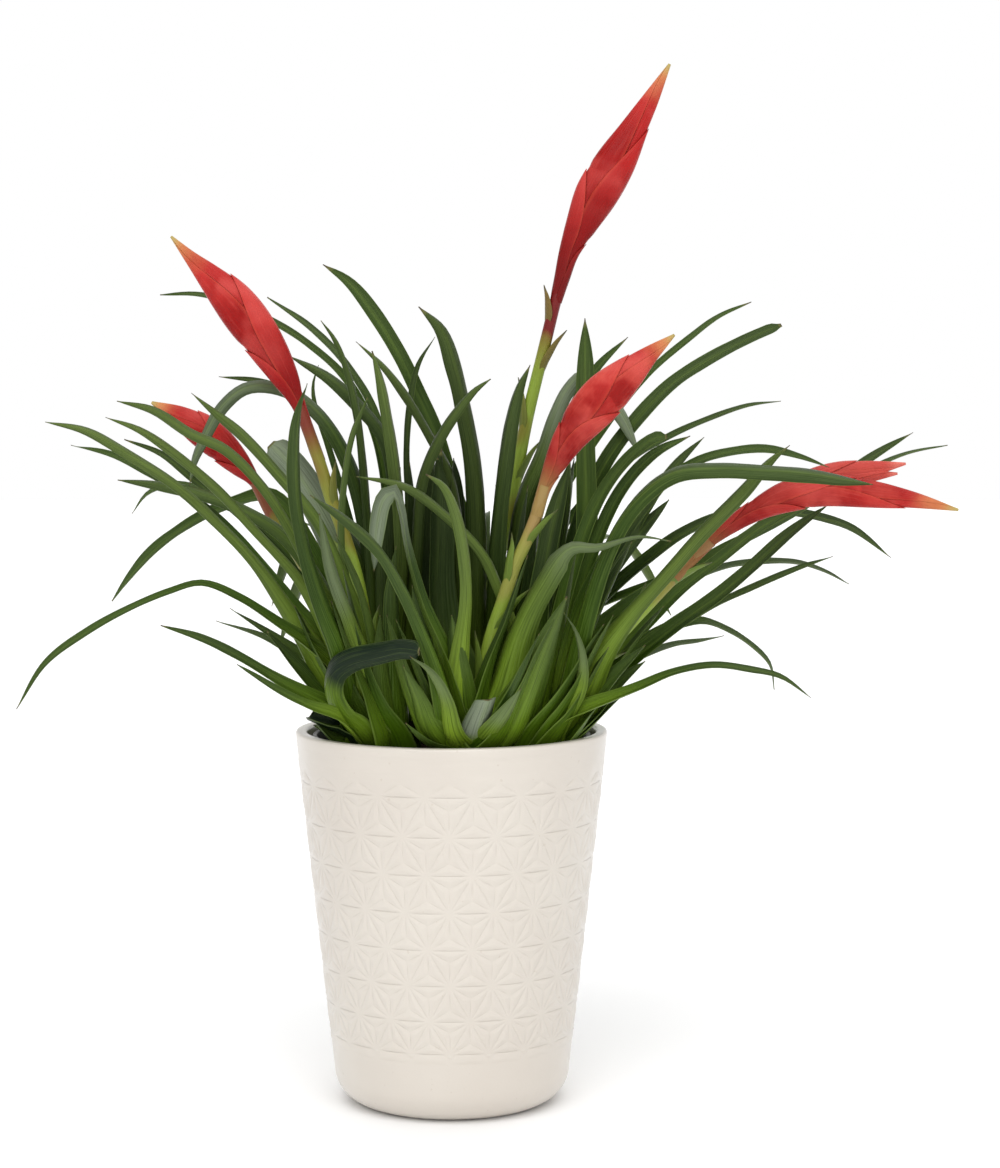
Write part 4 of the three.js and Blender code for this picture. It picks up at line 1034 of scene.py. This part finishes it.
def sword_spines(spec, draw):
    axis = sword_axis(spec)
    u = np.linspace(0, 1, CORE_STATIONS)
    width = axis.at(u)[:, 3] * CORE_SHARE
    look = dict(tint=spec["neck"], dry=spec.get("ripe", 1.0))
    core = tube(axis, u, width * spike_thickness(u), rise=u, tone=CORE_TONE, **look)
    core["half"] = width
    spines = [core]
    step = 1 / spec["bracts"]
    for k in range(1, spec["bracts"] + 1):
        sign = 1 if k % 2 else -1
        spines.append(bract_spine(axis, k * step, BRACT_OVERLAP * step, sign,
                                  tone=draw.uniform(0, 1), **look))
    return spines


def sword(name, tree, finish):
    spec = SPIKES[name]
    draw = np.random.default_rng(sum(map(ord, name)) + 2)
    spines = sword_spines(spec, draw)
    for side in spec.get("sides", ()):
        spines += sword_spines(side, draw)
    piece = grown(spine_mesh(name, spines), "flower_" + name, tree, dict(BRACT_SWEEP, Finish=finish))
    carried(piece, "sword_" + name)


# ---------------------------------------------------------------- pots and soil

EDGE_PARTS = 8
SECTIONS_ROUND = STARS_ROUND * EDGE_PARTS
TIP_DROP = 2.6
TIP_PART = 1 / EDGE_PARTS
FACET_RINGS = ((0.11, 0.0), (0.22, 0.12), (0.6, 0.6))
ARC_STEPS = 6
FRONT_TURN = -math.pi / 2
TURN = 2 * math.pi
WELD = 0.02 * MM

# Where the inside of the pot turns into its floor, and the plain middle of that floor.
INSIDE_BEND_Z = 60
FLOOR_EDGE = 9
FLOOR_MIDDLE = 20

# The nursery pot is turned in segments that are copied round; the soil is turned in one piece.
NURSERY_SEGMENTS = 16
NURSERY_SECTIONS = 96

# The soil's own mesh, and the crumbs over it.
SOIL_SECTIONS = 96
SOIL_RINGS = 36
SOIL_SIDE_HEIGHTS = (60, 110)
SOIL_WELD = 0.01 * MM
CRUMBS = {"Crumbs a square metre": 260000.0, "Smallest": 0.5 * MM, "Largest": 1.7 * MM, "Seed": 3}


def arc(centre, radius, start, end, steps=ARC_STEPS):
    """Points of an arc, in degrees from the outward direction, as (radius, z)."""
    turns = np.radians(np.linspace(start, end, steps + 1))
    return [(centre[0] + radius * math.cos(t), centre[1] + radius * math.sin(t)) for t in turns]


def wall_radius(z):
    share = (z - FOOT_ROUNDING) / (WALL_TOP_Z - FOOT_ROUNDING)
    return blend(WALL_BASE_RADIUS, WALL_TOP_RADIUS, share)


def on_wall(step, z, rise):
    """A point of the pot's wall; step counts star centres round it from the front."""
    angle = FRONT_TURN + TURN * step / STARS_ROUND
    radius = wall_radius(z) + rise
    return (radius * math.cos(angle), radius * math.sin(angle), z)


class Net:
    """The star net's facets over one step of the pot, as points in (step, z)."""

    def __init__(self):
        self.corners = []
        self.faces = []
        self.grooves = []

    def groove(self, step, z):
        """How deep a groove is: it fades out at star centres and where three of them meet."""
        deep = 1.0
        gaps = np.diff(STAR_ROWS)
        pitch = TURN * wall_radius(z) / STARS_ROUND
        for row, height in enumerate(STAR_ROWS):
            shift = row % 2 / 2
            gap = gaps[min(row, len(gaps) - 1)]
            over = step - round(step - shift) - shift
            between = step - round(step - shift - 0.5) - shift - 0.5
            deep = min(deep,
                       self.fade(over, z - height, pitch, STAR_CENTRE),
                       self.fade(between, z - height - gap / 3, pitch, GROOVE_MEETING),
                       self.fade(over, z - height - 2 * gap / 3, pitch, GROOVE_MEETING))
        return deep

    @staticmethod
    def fade(across, up, pitch, plain):
        return float(smoothstep(math.hypot(across * pitch, up), plain, plain + GROOVE_FADE))

    def facet(self, *sides):
        """One facet from its sides (start, end, parts, is_groove), counter-clockwise."""
        rim = []
        for (x0, z0), (x1, z1), parts, is_groove in sides:
            for i in range(parts):
                share = i / parts
                point = (blend(x0, x1, share), blend(z0, z1, share))
                strength = 1 if z0 == z1 else SLANT_SHARE
                rim.append((*point, is_groove * strength * self.groove(*point)))
        lengths = [math.hypot((a[0] - b[0]) * STEP_WIDTH, a[1] - b[1]) for a, b, _, _ in sides]
        middle = self.middle([side[0] for side in sides], lengths)
        start = len(self.corners)
        count = len(rim)
        for x, z, deep in rim:
            self.put(x, z, -GROOVE_DEPTH * deep, deep)
        for inset, rise in FACET_RINGS:
            for x, z, deep in rim:
                self.put(blend(x, middle[0], inset), blend(z, middle[1], inset), rise * FACET_RISE, 0)
        self.put(*middle, FACET_RISE, 0)
        for ring in range(len(FACET_RINGS)):
            low = start + ring * count
            for i in range(count):
                j = (i + 1) % count
                self.faces.append((low + i, low + j, low + count + j, low + count + i))
        low = start + len(FACET_RINGS) * count
        peak = low + count
        self.faces += [(low + i, low + (i + 1) % count, peak) for i in range(count)]

    @staticmethod
    def middle(points, lengths):
        """A triangle's incentre, or the mean of another outline's corners."""
        if len(points) == 3:
            weights = (lengths[1], lengths[2], lengths[0])
        else:
            weights = [1] * len(points)
        total = sum(weights)
        return tuple(sum(w * p[k] for w, p in zip(weights, points)) / total for k in (0, 1))

    def put(self, step, z, rise, deep):
        self.corners.append(on_wall(step, z, rise))
        self.grooves.append(deep)

    def star(self, left, right, peak, is_up):
        """A triangle of the net, split in three at its middle."""
        middle = ((left[0] + right[0] + peak[0]) / 3, (left[1] + right[1] + peak[1]) / 3)
        outline = [left, right, peak] if is_up else [right, left, peak]
        for i in range(3):
            a, b = outline[i], outline[(i + 1) % 3]
            self.facet((a, b, EDGE_PARTS, True), (b, middle, EDGE_PARTS, True),
                       (middle, a, EDGE_PARTS, True))


def star_net():
    """One step of the relief, from the plain foot band to the rim."""
    net = Net()
    for row, (low, high) in enumerate(zip(STAR_ROWS, STAR_ROWS[1:])):
        left = row % 2 / 2
        net.star((left, low), (left + 1, low), (left + 0.5, high), True)
        net.star((left + 0.5, high), (left + 1.5, high), (left + 1, low), False)
    foot = STAR_ROWS[0]
    tips = [(0, foot - TIP_DROP), (1, foot - TIP_DROP)]
    inner = [(TIP_PART, foot), (1 - TIP_PART, foot)]
    net.facet((tips[1], inner[1], 1, False), (inner[1], inner[0], EDGE_PARTS - 2, True),
              (inner[0], tips[0], 1, True), (tips[0], (0, NET_FOOT_Z), 1, False),
              ((0, NET_FOOT_Z), (1, NET_FOOT_Z), EDGE_PARTS, False),
              ((1, NET_FOOT_Z), tips[1], 1, False))
    net.facet(((-TIP_PART, foot), tips[0], 1, True), (tips[0], inner[0], 1, False),
              (inner[0], (-TIP_PART, foot), 2, True))
    last = len(STAR_ROWS) - 1
    top = STAR_ROWS[last]
    left = last % 2 / 2
    peak = top + (top - STAR_ROWS[last - 1]) / 3
    net.facet(((left, top), (left + 1, top), EDGE_PARTS, True),
              ((left + 1, top), (left + 0.5, peak), EDGE_PARTS, True),
              ((left + 0.5, peak), (left, top), EDGE_PARTS, True))
    sky = [(left - 0.5, WALL_TOP_Z), (left + 0.5, WALL_TOP_Z)]
    net.facet(((left, top), (left + 0.5, peak), EDGE_PARTS, True),
              ((left + 0.5, peak), sky[1], 1, False), (sky[1], sky[0], EDGE_PARTS, False),
              (sky[0], (left - 0.5, peak), 1, False),
              ((left - 0.5, peak), (left, top), EDGE_PARTS, True))
    return net


def pot_profile():
    """The plain parts of the pot as (radius, z): below the relief, and from its top round to the floor."""
    foot = arc((FOOT_FLAT_RADIUS + FOOT_EASING, FOOT_ROUNDING), FOOT_ROUNDING, -90, -4, 10)
    below = [(0, 0), (FOOT_FLAT_RADIUS / 2, 0), (FOOT_FLAT_RADIUS, 0), *foot[1:],
             (wall_radius(FOOT_BAND_Z), FOOT_BAND_Z), (wall_radius(NET_FOOT_Z), NET_FOOT_Z)]
    low_z, high_z = RIM_LIP_Z - RIM_LINE, RIM_LIP_Z + RIM_LINE
    rim, mouth, bend = RIM_ROUNDING, MOUTH_ROUNDING, FLOOR_ROUNDING
    floor_edge = WALL_BASE_RADIUS - POT_WALL - FLOOR_EDGE
    above = [(WALL_TOP_RADIUS, WALL_TOP_Z), (wall_radius(low_z), low_z),
             (wall_radius(RIM_LIP_Z) - RIM_LINE_DEPTH, RIM_LIP_Z), (wall_radius(high_z), high_z),
             *arc((RIM_RADIUS - rim, POT_HEIGHT - rim), rim, 0, 90),
             *arc((MOUTH_RADIUS + mouth, POT_HEIGHT - mouth), mouth, 90, 180),
             (WALL_TOP_RADIUS - POT_WALL, RIM_LIP_Z - 2),
             (wall_radius(INSIDE_BEND_Z) - POT_WALL - 1, INSIDE_BEND_Z),
             *arc((floor_edge, POT_FLOOR + bend), bend, -10, -90),
             (FLOOR_MIDDLE, POT_FLOOR), (0, POT_FLOOR)]
    return below, above


def lathe(profile, count, turns):
    """Corners and faces of a turned surface: some sections, out of so many in a full turn."""
    corners = []
    faces = []
    angles = [FRONT_TURN + TURN * i / turns for i in range(count + 1)]
    for radius, z in profile:
        corners += [(radius * math.cos(angle), radius * math.sin(angle), z) for angle in angles]
    row = count + 1
    for k in range(len(profile) - 1):
        for i in range(count):
            a = k * row + i
            quad = [a, a + 1, a + 1 + row, a + row]
            if profile[k][0] == 0:
                quad = [a, a + 1 + row, a + row]
            elif profile[k + 1][0] == 0:
                quad = [a, a + 1, a + row]
            faces.append(tuple(quad))
    return corners, faces


def ring_tree():
    """Copies a segment round the Z axis and welds the seams."""
    tree, given = new_geometry_tree("segments round the axis", {
        "Segments": "Int", "Weld": "Float", "Finish": "Material"})
    points = result(tree, "GeometryNodeMeshLine", {"Count": given["Segments"], "Offset": (0, 0, 0)})
    turn = TURN / given["Segments"] * result(tree, "GeometryNodeInputIndex")
    copies = result(tree, "GeometryNodeInstanceOnPoints", {
        "Points": points, "Instance": given["Geometry"], "Rotation": combined(tree, z=turn)})
    real = result(tree, "GeometryNodeRealizeInstances", {0: copies})
    welded = result(tree, "GeometryNodeMergeByDistance", {"Geometry": real, "Distance": given["Weld"]})
    return finish_tree(tree, welded, given["Finish"])


def cover_pot(finish):
    net = star_net()
    corners, faces, grooves = net.corners, net.faces, net.grooves
    for profile in pot_profile():
        more, more_faces = lathe(profile, EDGE_PARTS, SECTIONS_ROUND)
        faces += [tuple(i + len(corners) for i in face) for face in more_faces]
        corners += more
        grooves += [0.0] * len(more)
    mesh = mesh_of("pot_segment", corners, faces)
    mesh.attributes.new("groove", "FLOAT", "POINT").data.foreach_set("value", grooves)
    piece = grown(mesh, "glazed_pot", ring_tree(), {
        "Segments": STARS_ROUND, "Weld": WELD, "Finish": finish})
    carried(piece, "cover_pot")


def grow_pot_radius(z):
    share = (z - GROW_POT_FOOT_Z) / (GROW_POT_RIM_Z - GROW_POT_FOOT_Z)
    return blend(GROW_POT_BASE_RADIUS, GROW_POT_TOP_RADIUS, share)


def nursery_pot(finish):
    lip_z = GROW_POT_RIM_Z - GROW_POT_LIP_HEIGHT
    floor_z = GROW_POT_FOOT_Z + GROW_POT_WALL
    lip = grow_pot_radius(lip_z) + GROW_POT_LIP
    top = GROW_POT_TOP_RADIUS + GROW_POT_LIP
    foot, edge = GROW_POT_FOOT_ROUNDING, GROW_POT_LIP_ROUNDING
    profile = [(0, GROW_POT_FOOT_Z), (GROW_POT_BASE_RADIUS - foot, GROW_POT_FOOT_Z),
               *arc((GROW_POT_BASE_RADIUS - foot, GROW_POT_FOOT_Z + foot), foot, -80, -5),
               (grow_pot_radius(lip_z) - 0.2, lip_z - 0.3), (lip - 0.3, lip_z), (lip, lip_z + 0.4),
               *arc((top - edge, GROW_POT_RIM_Z - edge), edge, 0, 90, 4),
               *arc((top - 3 * edge, GROW_POT_RIM_Z - edge), edge, 90, 180, 4),
               (grow_pot_radius(lip_z) - GROW_POT_WALL, lip_z),
               (grow_pot_radius(floor_z) - GROW_POT_WALL, floor_z), (0, floor_z)]
    corners, faces = lathe(profile, NURSERY_SECTIONS // NURSERY_SEGMENTS, NURSERY_SECTIONS)
    piece = grown(mesh_of("nursery_segment", corners, faces), "nursery_pot", ring_tree(), {
        "Segments": NURSERY_SEGMENTS, "Weld": WELD, "Finish": finish})
    carried(piece, "grow_pot")


def crumb_tree():
    """Scatters small lumps over the upward faces of the soil."""
    tree, given = new_geometry_tree("crumbs over the soil", {
        "Crumbs a square metre": "Float", "Smallest": "Float", "Largest": "Float", "Seed": "Int",
        "Finish": "Material"})
    up = parted(result(tree, "GeometryNodeInputNormal"))[2]
    top = result(tree, "FunctionNodeCompare", {0: up, 1: 0.5}, operation="GREATER_THAN")
    points = result(tree, "GeometryNodeDistributePointsOnFaces", {
        "Mesh": given["Geometry"], "Selection": top, "Density": given["Crumbs a square metre"],
        "Seed": given["Seed"]})
    crumb = result(tree, "GeometryNodeMeshIcoSphere", {"Radius": 1.0, "Subdivisions": 1})
    size = result(tree, "FunctionNodeRandomValue", {
        "Min": given["Smallest"], "Max": given["Largest"], "Seed": given["Seed"]}, 1, data_type="FLOAT")
    stretch, turn = (
        result(tree, "FunctionNodeRandomValue", {0: low, 1: high}, data_type="FLOAT_VECTOR")
        for low, high in (((0.6, 0.6, 0.5), (1.5, 1.2, 1.0)), ((0, 0, 0), (3.1, 3.1, 3.1))))
    copies = result(tree, "GeometryNodeInstanceOnPoints", {
        "Points": points, "Instance": crumb, "Rotation": turn,
        "Scale": vector_maths("SCALE", stretch, size)})
    both = add(tree, "GeometryNodeJoinGeometry", {0: copies})
    tree.links.new(given["Geometry"].socket, both.inputs[0])
    return finish_tree(tree, Value(both.outputs[0]), given["Finish"])


def potting_mix(finish):
    draw = np.random.default_rng(7)
    floor_z = GROW_POT_FOOT_Z + GROW_POT_WALL + SOIL_FLOOR_PLAY
    side = [(grow_pot_radius(z) - GROW_POT_WALL - SOIL_PLAY, z)
            for z in (floor_z, *SOIL_SIDE_HEIGHTS, SOIL_TOP_Z)]
    top = [(radius, SOIL_TOP_Z) for radius in np.linspace(side[-1][0] - 1, 0, SOIL_RINGS)]
    corners, faces = lathe([(0, floor_z), *side, *top], SOIL_SECTIONS, SOIL_SECTIONS)
    mesh = mesh_of("soil", corners, faces)
    welding = bmesh.new()
    welding.from_mesh(mesh)
    bmesh.ops.remove_doubles(welding, verts=welding.verts, dist=SOIL_WELD)
    for corner in welding.verts:
        if corner.co.z > (SOIL_TOP_Z - 1) * MM:
            corner.co.z += draw.uniform(*SOIL_BUMPS) * MM
    bmesh.ops.recalc_face_normals(welding, faces=welding.faces)
    welding.to_mesh(mesh)
    welding.free()
    piece = grown(mesh, "potting_mix", crumb_tree(), dict(CRUMBS, Finish=finish))
    carried(piece, "potting_soil")


# ---------------------------------------------------------------- finishes

NECK_RED = (112, 18, 16)
NECK_TAN = (152, 126, 74)

# The heart of the plant, where its leaves stand close and are darkened with painted shade: its place and
# reach in metres.
HEART = (-0.008, 0.012, 0.225)
HEART_REACH = (0.02, 0.06)
HEART_STRETCH = (1, 1, 0.35)
HEART_DEPTH = 0.65


def srgb(red, green, blue):
    """A display colour, 0 to 255, as linear RGBA."""
    channels = [(c / 255 / 12.92) if c <= 10 else ((c / 255 + 0.055) / 1.055) ** 2.4
                for c in (red, green, blue)]
    return (*channels, 1.0)


def new_finish(name):
    """An empty material with its tree and a main shader that is linked to its output."""
    material = bpy.data.materials.new(name)
    material.use_nodes = True
    tree = material.node_tree
    tree.nodes.clear()
    shader = add(tree, "ShaderNodeBsdfPrincipled")
    add(tree, "ShaderNodeOutputMaterial", {"Surface": Value(shader.outputs[0])})
    return material, tree, shader


def set_inputs(node, **sources):
    """Links Values to a node's inputs and sets plain ones on them; _ stands for a blank."""
    for name, source in sources.items():
        socket = node.inputs[name.replace("_", " ")]
        if isinstance(source, Value):
            node.id_data.links.new(source.socket, socket)
        else:
            socket.default_value = source


def attributes(tree, *names):
    return [result(tree, "ShaderNodeAttribute", output="Fac", attribute_name=name) for name in names]


def object_place(tree):
    return result(tree, "ShaderNodeTexCoord", output="Object")


def mixed(share, a, b):
    """From colour a to colour b; each is a Value, or display red, green and blue, 0 to 255."""
    a, b = (side if isinstance(side, Value) else srgb(*side) for side in (a, b))
    return result(tree_of(share, a, b), "ShaderNodeMix", {0: share, 6: a, 7: b}, 2,
                  data_type="RGBA", blend_type="MIX")


def coated(colour, *coats):
    """Lays coats, each (share, colour), over a colour."""
    for share, coat in coats:
        colour = mixed(share, colour, coat)
    return colour


def eased(value, low, high, out_low=0.0, out_high=1.0):
    """Maps a value smoothly from one range to another."""
    return result(tree_of(value), "ShaderNodeMapRange", {
        "Value": value, "From Min": low, "From Max": high, "To Min": out_low, "To Max": out_high},
        interpolation_type="SMOOTHSTEP")


def bumped(height, distance, strength):
    return result(tree_of(height), "ShaderNodeBump", {
        "Height": height, "Distance": distance, "Strength": strength})


def glaze_finish():
    """Cream satin glaze, a little thinner and browner where it runs off the relief's edges."""
    material, tree, shader = new_finish("cream satin glaze")
    place = object_place(tree)
    groove, = attributes(tree, "groove")
    cloud = noise(place, 14.0, 3.0)
    speck = noise(place, 420.0, 1.0)
    colour = coated(
        mixed(eased(cloud, 0.3, 0.7), (208, 201, 191), (203, 195, 185)),
        (groove * 0.15, (190, 178, 162)),
        (eased(speck, 0.72, 0.8, 0.0, 0.25), (176, 160, 142)))
    ripple = noise(place, 90.0) + noise(place, 900.0) * 0.15
    set_inputs(shader, Base_Color=colour, Roughness=eased(noise(place, 60.0, 3.0), 0.3, 0.7, 0.33, 0.42),
               Normal=bumped(ripple, 0.0006, 0.35), Coat_Weight=0.5, Coat_Roughness=0.15)
    return material


def plastic_finish():
    """Thin black nursery-pot plastic, dusty with dried water marks."""
    material, tree, shader = new_finish("matt black plastic")
    place = object_place(tree)
    dust = noise(place, 55.0, 5.0, 0.6)
    set_inputs(shader, Base_Color=mixed(eased(dust, 0.5, 0.75, 0.0, 0.5), (34, 36, 35), (92, 84, 72)),
               Roughness=eased(dust, 0.3, 0.7, 0.38, 0.7),
               Normal=bumped(noise(place, 700.0), 0.0002, 0.4))
    return material


def soil_finish():
    """Moist dark peat with paler fibres and bark."""
    material, tree, shader = new_finish("moist peat")
    place = object_place(tree)
    clump = noise(place, 260.0, 4.0, 0.65)
    bark = noise(place, 90.0, 1.0)
    colour = coated(
        mixed(eased(clump, 0.35, 0.65), (30, 21, 15), (66, 48, 34)),
        (eased(bark, 0.62, 0.68), (104, 76, 50)))
    set_inputs(shader, Base_Color=colour, Normal=bumped(clump, 0.0012, 0.9), Roughness=0.92)
    return material


def painted_inner_shade(tree):
    """Painted shade: how much darker the crowded inner leaves are painted than those in the open."""
    away = vector_maths("SUBTRACT", object_place(tree), HEART)
    away = vector_maths("MULTIPLY", away, HEART_STRETCH)
    reach = result(tree, "ShaderNodeVectorMath", {0: away}, "Value", operation="LENGTH")
    return eased(reach, *HEART_REACH, HEART_DEPTH, 0.0)


def leaf_finish():
    """Glossy strap leaf: dark green, paler towards its clasping foot, grey-green underneath."""
    material, tree, shader = new_finish("strap leaf")
    along, across, face, rise, tone, dry, tint = attributes(
        tree, "along", "across", "face", "rise", "tone", "dry", "tint")
    aside = maths("ABSOLUTE", across)
    strands = noise(combined(tree, across * 5.0, rise * 14.0, tone * 53.0), 2.2, 4.0, 0.6)
    patch = noise(combined(tree, across * 0.8, rise * 28.0, tone * 91.0), 1.0)

    foot = mixed(tone, (72, 104, 10), (138, 168, 44))
    upper = coated(
        mixed(tone, (12, 32, 5), (56, 84, 16)),
        (eased(patch, 0.35, 0.7, 0.0, 0.35), (72, 98, 20)),
        (eased(rise, 0.02, 0.1, 0.95, 0.0), foot))
    under = coated(
        mixed(tone, (34, 58, 10), (98, 118, 48)),
        (eased(rise, 0.025, 0.11, 0.95, 0.0), foot))
    # grey-green over the outer half: partly the leaf's bloom, partly a painted reflection of the light
    # above
    grey = maths("MAXIMUM", tint, 0.0) * eased(along, 0.6, 0.75)
    grey = maths("ADD", grey, maths("MAXIMUM", tint - 1.0, 0.0), clamp=True)
    # bluish dark: a painted bluish sheen on a dark leaf, and painted shade where the tint is -3
    blue = eased(maths("MAXIMUM", tint * -1.0, 0.0) * rise, 0.062, 0.072)
    colour = coated(
        mixed(eased(face, 0.02, -0.02), upper, under),
        # paler grey-green towards the outer half, partly painted light where the leaf stands in the open
        (eased(along, 0.35, 0.9, 0.0, 0.45), (76, 88, 58)),
        (grey, (126, 136, 116)),
        (blue, (16, 28, 26)),
        # painted shade: darker towards the margins, where the rounded blade turns from the light
        (eased(aside, 0.3, 0.95, 0.0, 0.35), (20, 40, 6)),
        # pale middle: partly the midrib's own colour, partly a painted highlight along the blade's crown
        (eased(aside, 0.0, 0.35, 0.14, 0.0) * (1.0 - blue), (122, 146, 58)),
        (eased(aside, 0.92, 1.0, 0.0, 0.5), (112, 132, 62)),
        (eased(strands, 0.3, 0.55, 0.5, 0.0), (20, 38, 8)),
        # pale streaks: partly the leaf's veins, partly a painted sheen along them
        (eased(strands, 0.52, 0.75, 0.0, 0.3), (112, 134, 66)),
        # painted shade over the crowded inner leaves
        (painted_inner_shade(tree), (8, 20, 5)),
        (eased(dry, 0.0, 0.5), (104, 104, 62)),
        (eased(dry, 0.45, 1.0), (82, 70, 54)))

    height = maths("SINE", across * 46.0) * 0.25 + strands
    rough = eased(patch, 0.3, 0.7, 0.28, 0.38) + dry * 0.3
    set_inputs(shader, Base_Color=colour, Roughness=rough, Normal=bumped(height, 0.00035, 0.5),
               Specular_IOR_Level=0.22, Specular_Tint=(0.8, 1.0, 0.5, 1))
    return material


def stalk_finish():
    """Yellow-green stalk, flushed with red towards the flower, with green-brown sheaths."""
    material, tree, shader = new_finish("flower stalk")
    across, rise, tone, dry, tint = attributes(tree, "across", "rise", "tone", "dry", "tint")
    streak = noise(combined(tree, across * 3.0, rise * 9.0, tone), 2.0, 3.0)
    blotch = eased(noise(object_place(tree), 30.0, 0.0), 0.5, 0.62, 0.0, 0.45)
    flush = maths("ADD", eased(rise, 0.78, 0.96), blotch, clamp=True)
    brown = maths("MAXIMUM", eased(rise, 0.55, 1.0) * (0.6 - tone), 0.0)
    stem = coated(
        mixed(streak, (110, 138, 32), (150, 170, 66)),
        (flush, mixed(tone, NECK_RED, NECK_TAN)))
    sheath = coated(
        mixed(streak, (72, 100, 28), (118, 136, 52)),
        (brown, (124, 66, 44)))
    colour = coated(
        stem,
        (tint, sheath),
        (eased(dry, 0.1, 1.0, 0.0, 0.85), (72, 72, 44)))
    set_inputs(shader, Base_Color=colour, Normal=bumped(streak, 0.0004, 0.5), Roughness=0.42,
               Specular_IOR_Level=0.3)
    return material


def bract_finish():
    """Waxy red bracts: deep red where they emerge, coral on their shoulders, orange at the top."""
    material, tree, shader = new_finish("waxy red bract")
    along, across, rise, tone, ripe, tint = attributes(
        tree, "along", "across", "rise", "tone", "dry", "tint")
    aside = maths("ABSOLUTE", across)
    place = object_place(tree)
    cloud = noise(place, 85.0, 3.0)
    strand = noise(combined(tree, across * 5.0, along * 1.6, tone * 47.0), 2.4, 3.0)

    shoulder = eased(along + cloud * 0.35, 0.45, 1.05)
    # pink patches: partly the bracts' own flush, partly painted highlights of their wet gloss
    blush_and_sheen = eased(noise(place, 42.0), 0.5, 0.66, 0.0, 0.5) * eased(rise, 0.25, 0.6)
    pale = tint * eased(cloud, 0.38, 0.62, 0.05, 0.5)
    neck = eased(rise + cloud * 0.1, 0.08, 0.34, 1.0, 0.0)
    top = eased(rise + cloud * 0.12, 0.88, 1.04)
    point = eased(rise, 0.94, 1.0, 0.0, 0.9) * ripe
    colour = coated(
        mixed(cloud, (124, 6, 6), (162, 14, 12)),
        (shoulder, mixed(tone, (168, 24, 24), (188, 48, 44))),
        (eased(strand, 0.5, 0.75, 0.0, 0.25), (200, 76, 66)),
        (blush_and_sheen, (208, 84, 78)),
        (pale, (210, 88, 76)),
        (eased(ripe, 0.0, 1.0, 0.45, 0.0), (214, 100, 88)),
        (eased(rise, 0.1, 0.6, 0.55, 0.0), (104, 6, 8)),
        (eased(aside, 0.0, 0.15, 0.25, 0.0), (196, 76, 56)),
        (eased(aside, 0.9, 1.0, 0.0, 0.25), (200, 80, 56)),
        (neck, mixed(tint, NECK_RED, NECK_TAN)),
        (top, mixed(ripe, (222, 118, 104), (206, 134, 84))),
        (point, (184, 170, 104)))
    set_inputs(shader, Base_Color=colour, Roughness=eased(cloud, 0.3, 0.7, 0.26, 0.38),
               Normal=bumped(strand, 0.001, 0.5), Specular_IOR_Level=0.14)
    return material


# ---------------------------------------------------------------- floor, light and camera

FLOOR_RADIUS = 6.0
FLOOR_SIDES = 64
AIM_HEIGHT = 0.2255
FOCAL_LENGTH = 85.7
SENSOR_HEIGHT = 36
WALL_LIGHT = 1.0
CEILING_LIGHT = 0.4
CEILING_FROM = (0.14, 0.45)

# Wide lights from far away: where they stand, their strength, and their size in degrees.
SUNS = {
    "key": ((-0.12, -1.0, 1.1), 1.6, 60),
    "fill": ((0.4, -1.0, 0.9), 0.5, 80),
    "back": ((0.1, 1.0, 1.7), 1.2, 80),
}


def aimed(item, place, target):
    item.location = place
    item.rotation_euler = (Vector(target) - Vector(place)).to_track_quat("-Z", "Y").to_euler()
    bpy.context.scene.collection.objects.link(item)


def pale_floor():
    turns = [TURN * i / FLOOR_SIDES for i in range(FLOOR_SIDES)]
    rim = [(FLOOR_RADIUS * math.cos(t), FLOOR_RADIUS * math.sin(t), 0) for t in turns]
    floor = bpy.data.meshes.new("floor")
    floor.from_pydata(rim, [], [tuple(range(FLOOR_SIDES))])
    material, _, shader = new_finish("pale floor")
    set_inputs(shader, Base_Color=(0.95, 0.95, 0.95, 1), Roughness=0.9, Specular_IOR_Level=0.0)
    floor.materials.append(material)
    ground = bpy.data.objects.new("floor", floor)
    bpy.context.scene.collection.objects.link(ground)


def soft_room():
    """An even white room whose ceiling is darker than its walls."""
    world = bpy.data.worlds.new("studio")
    world.use_nodes = True
    tree = world.node_tree
    height = parted(object_place(tree))[2]
    set_inputs(tree.nodes["Background"], Color=(1, 1, 1, 1),
               Strength=eased(height, *CEILING_FROM, WALL_LIGHT, CEILING_LIGHT))
    bpy.context.scene.world = world


def studio():
    pale_floor()
    soft_room()
    for name, (place, strength, spread) in SUNS.items():
        lamp = bpy.data.lights.new(name, "SUN")
        lamp.energy = strength
        lamp.angle = math.radians(spread)
        aimed(bpy.data.objects.new(name, lamp), place, (0, 0, 0))
    bpy.context.scene.view_settings.view_transform = "Standard"


def camera():
    lens = bpy.data.cameras.new("camera")
    lens.sensor_fit = "VERTICAL"
    lens.sensor_height = SENSOR_HEIGHT
    lens.lens = FOCAL_LENGTH
    eye = bpy.data.objects.new("camera", lens)
    aimed(eye, EYE * MM, (EYE[0] * MM, 0, AIM_HEIGHT))
    bpy.context.scene.camera = eye


# ---------------------------------------------------------------- assembly

camera()
studio()
cover_pot(glaze_finish())
nursery_pot(plastic_finish())
potting_mix(soil_finish())
BLADES = blade_tree()
LEAF_FINISH = leaf_finish()
STALK_FINISH = stalk_finish()
BRACT_FINISH = bract_finish()
for plant in ROSETTES:
    rosette(plant, BLADES, LEAF_FINISH)
    scape(plant, BLADES, STALK_FINISH)
    sword(plant, BLADES, BRACT_FINISH)
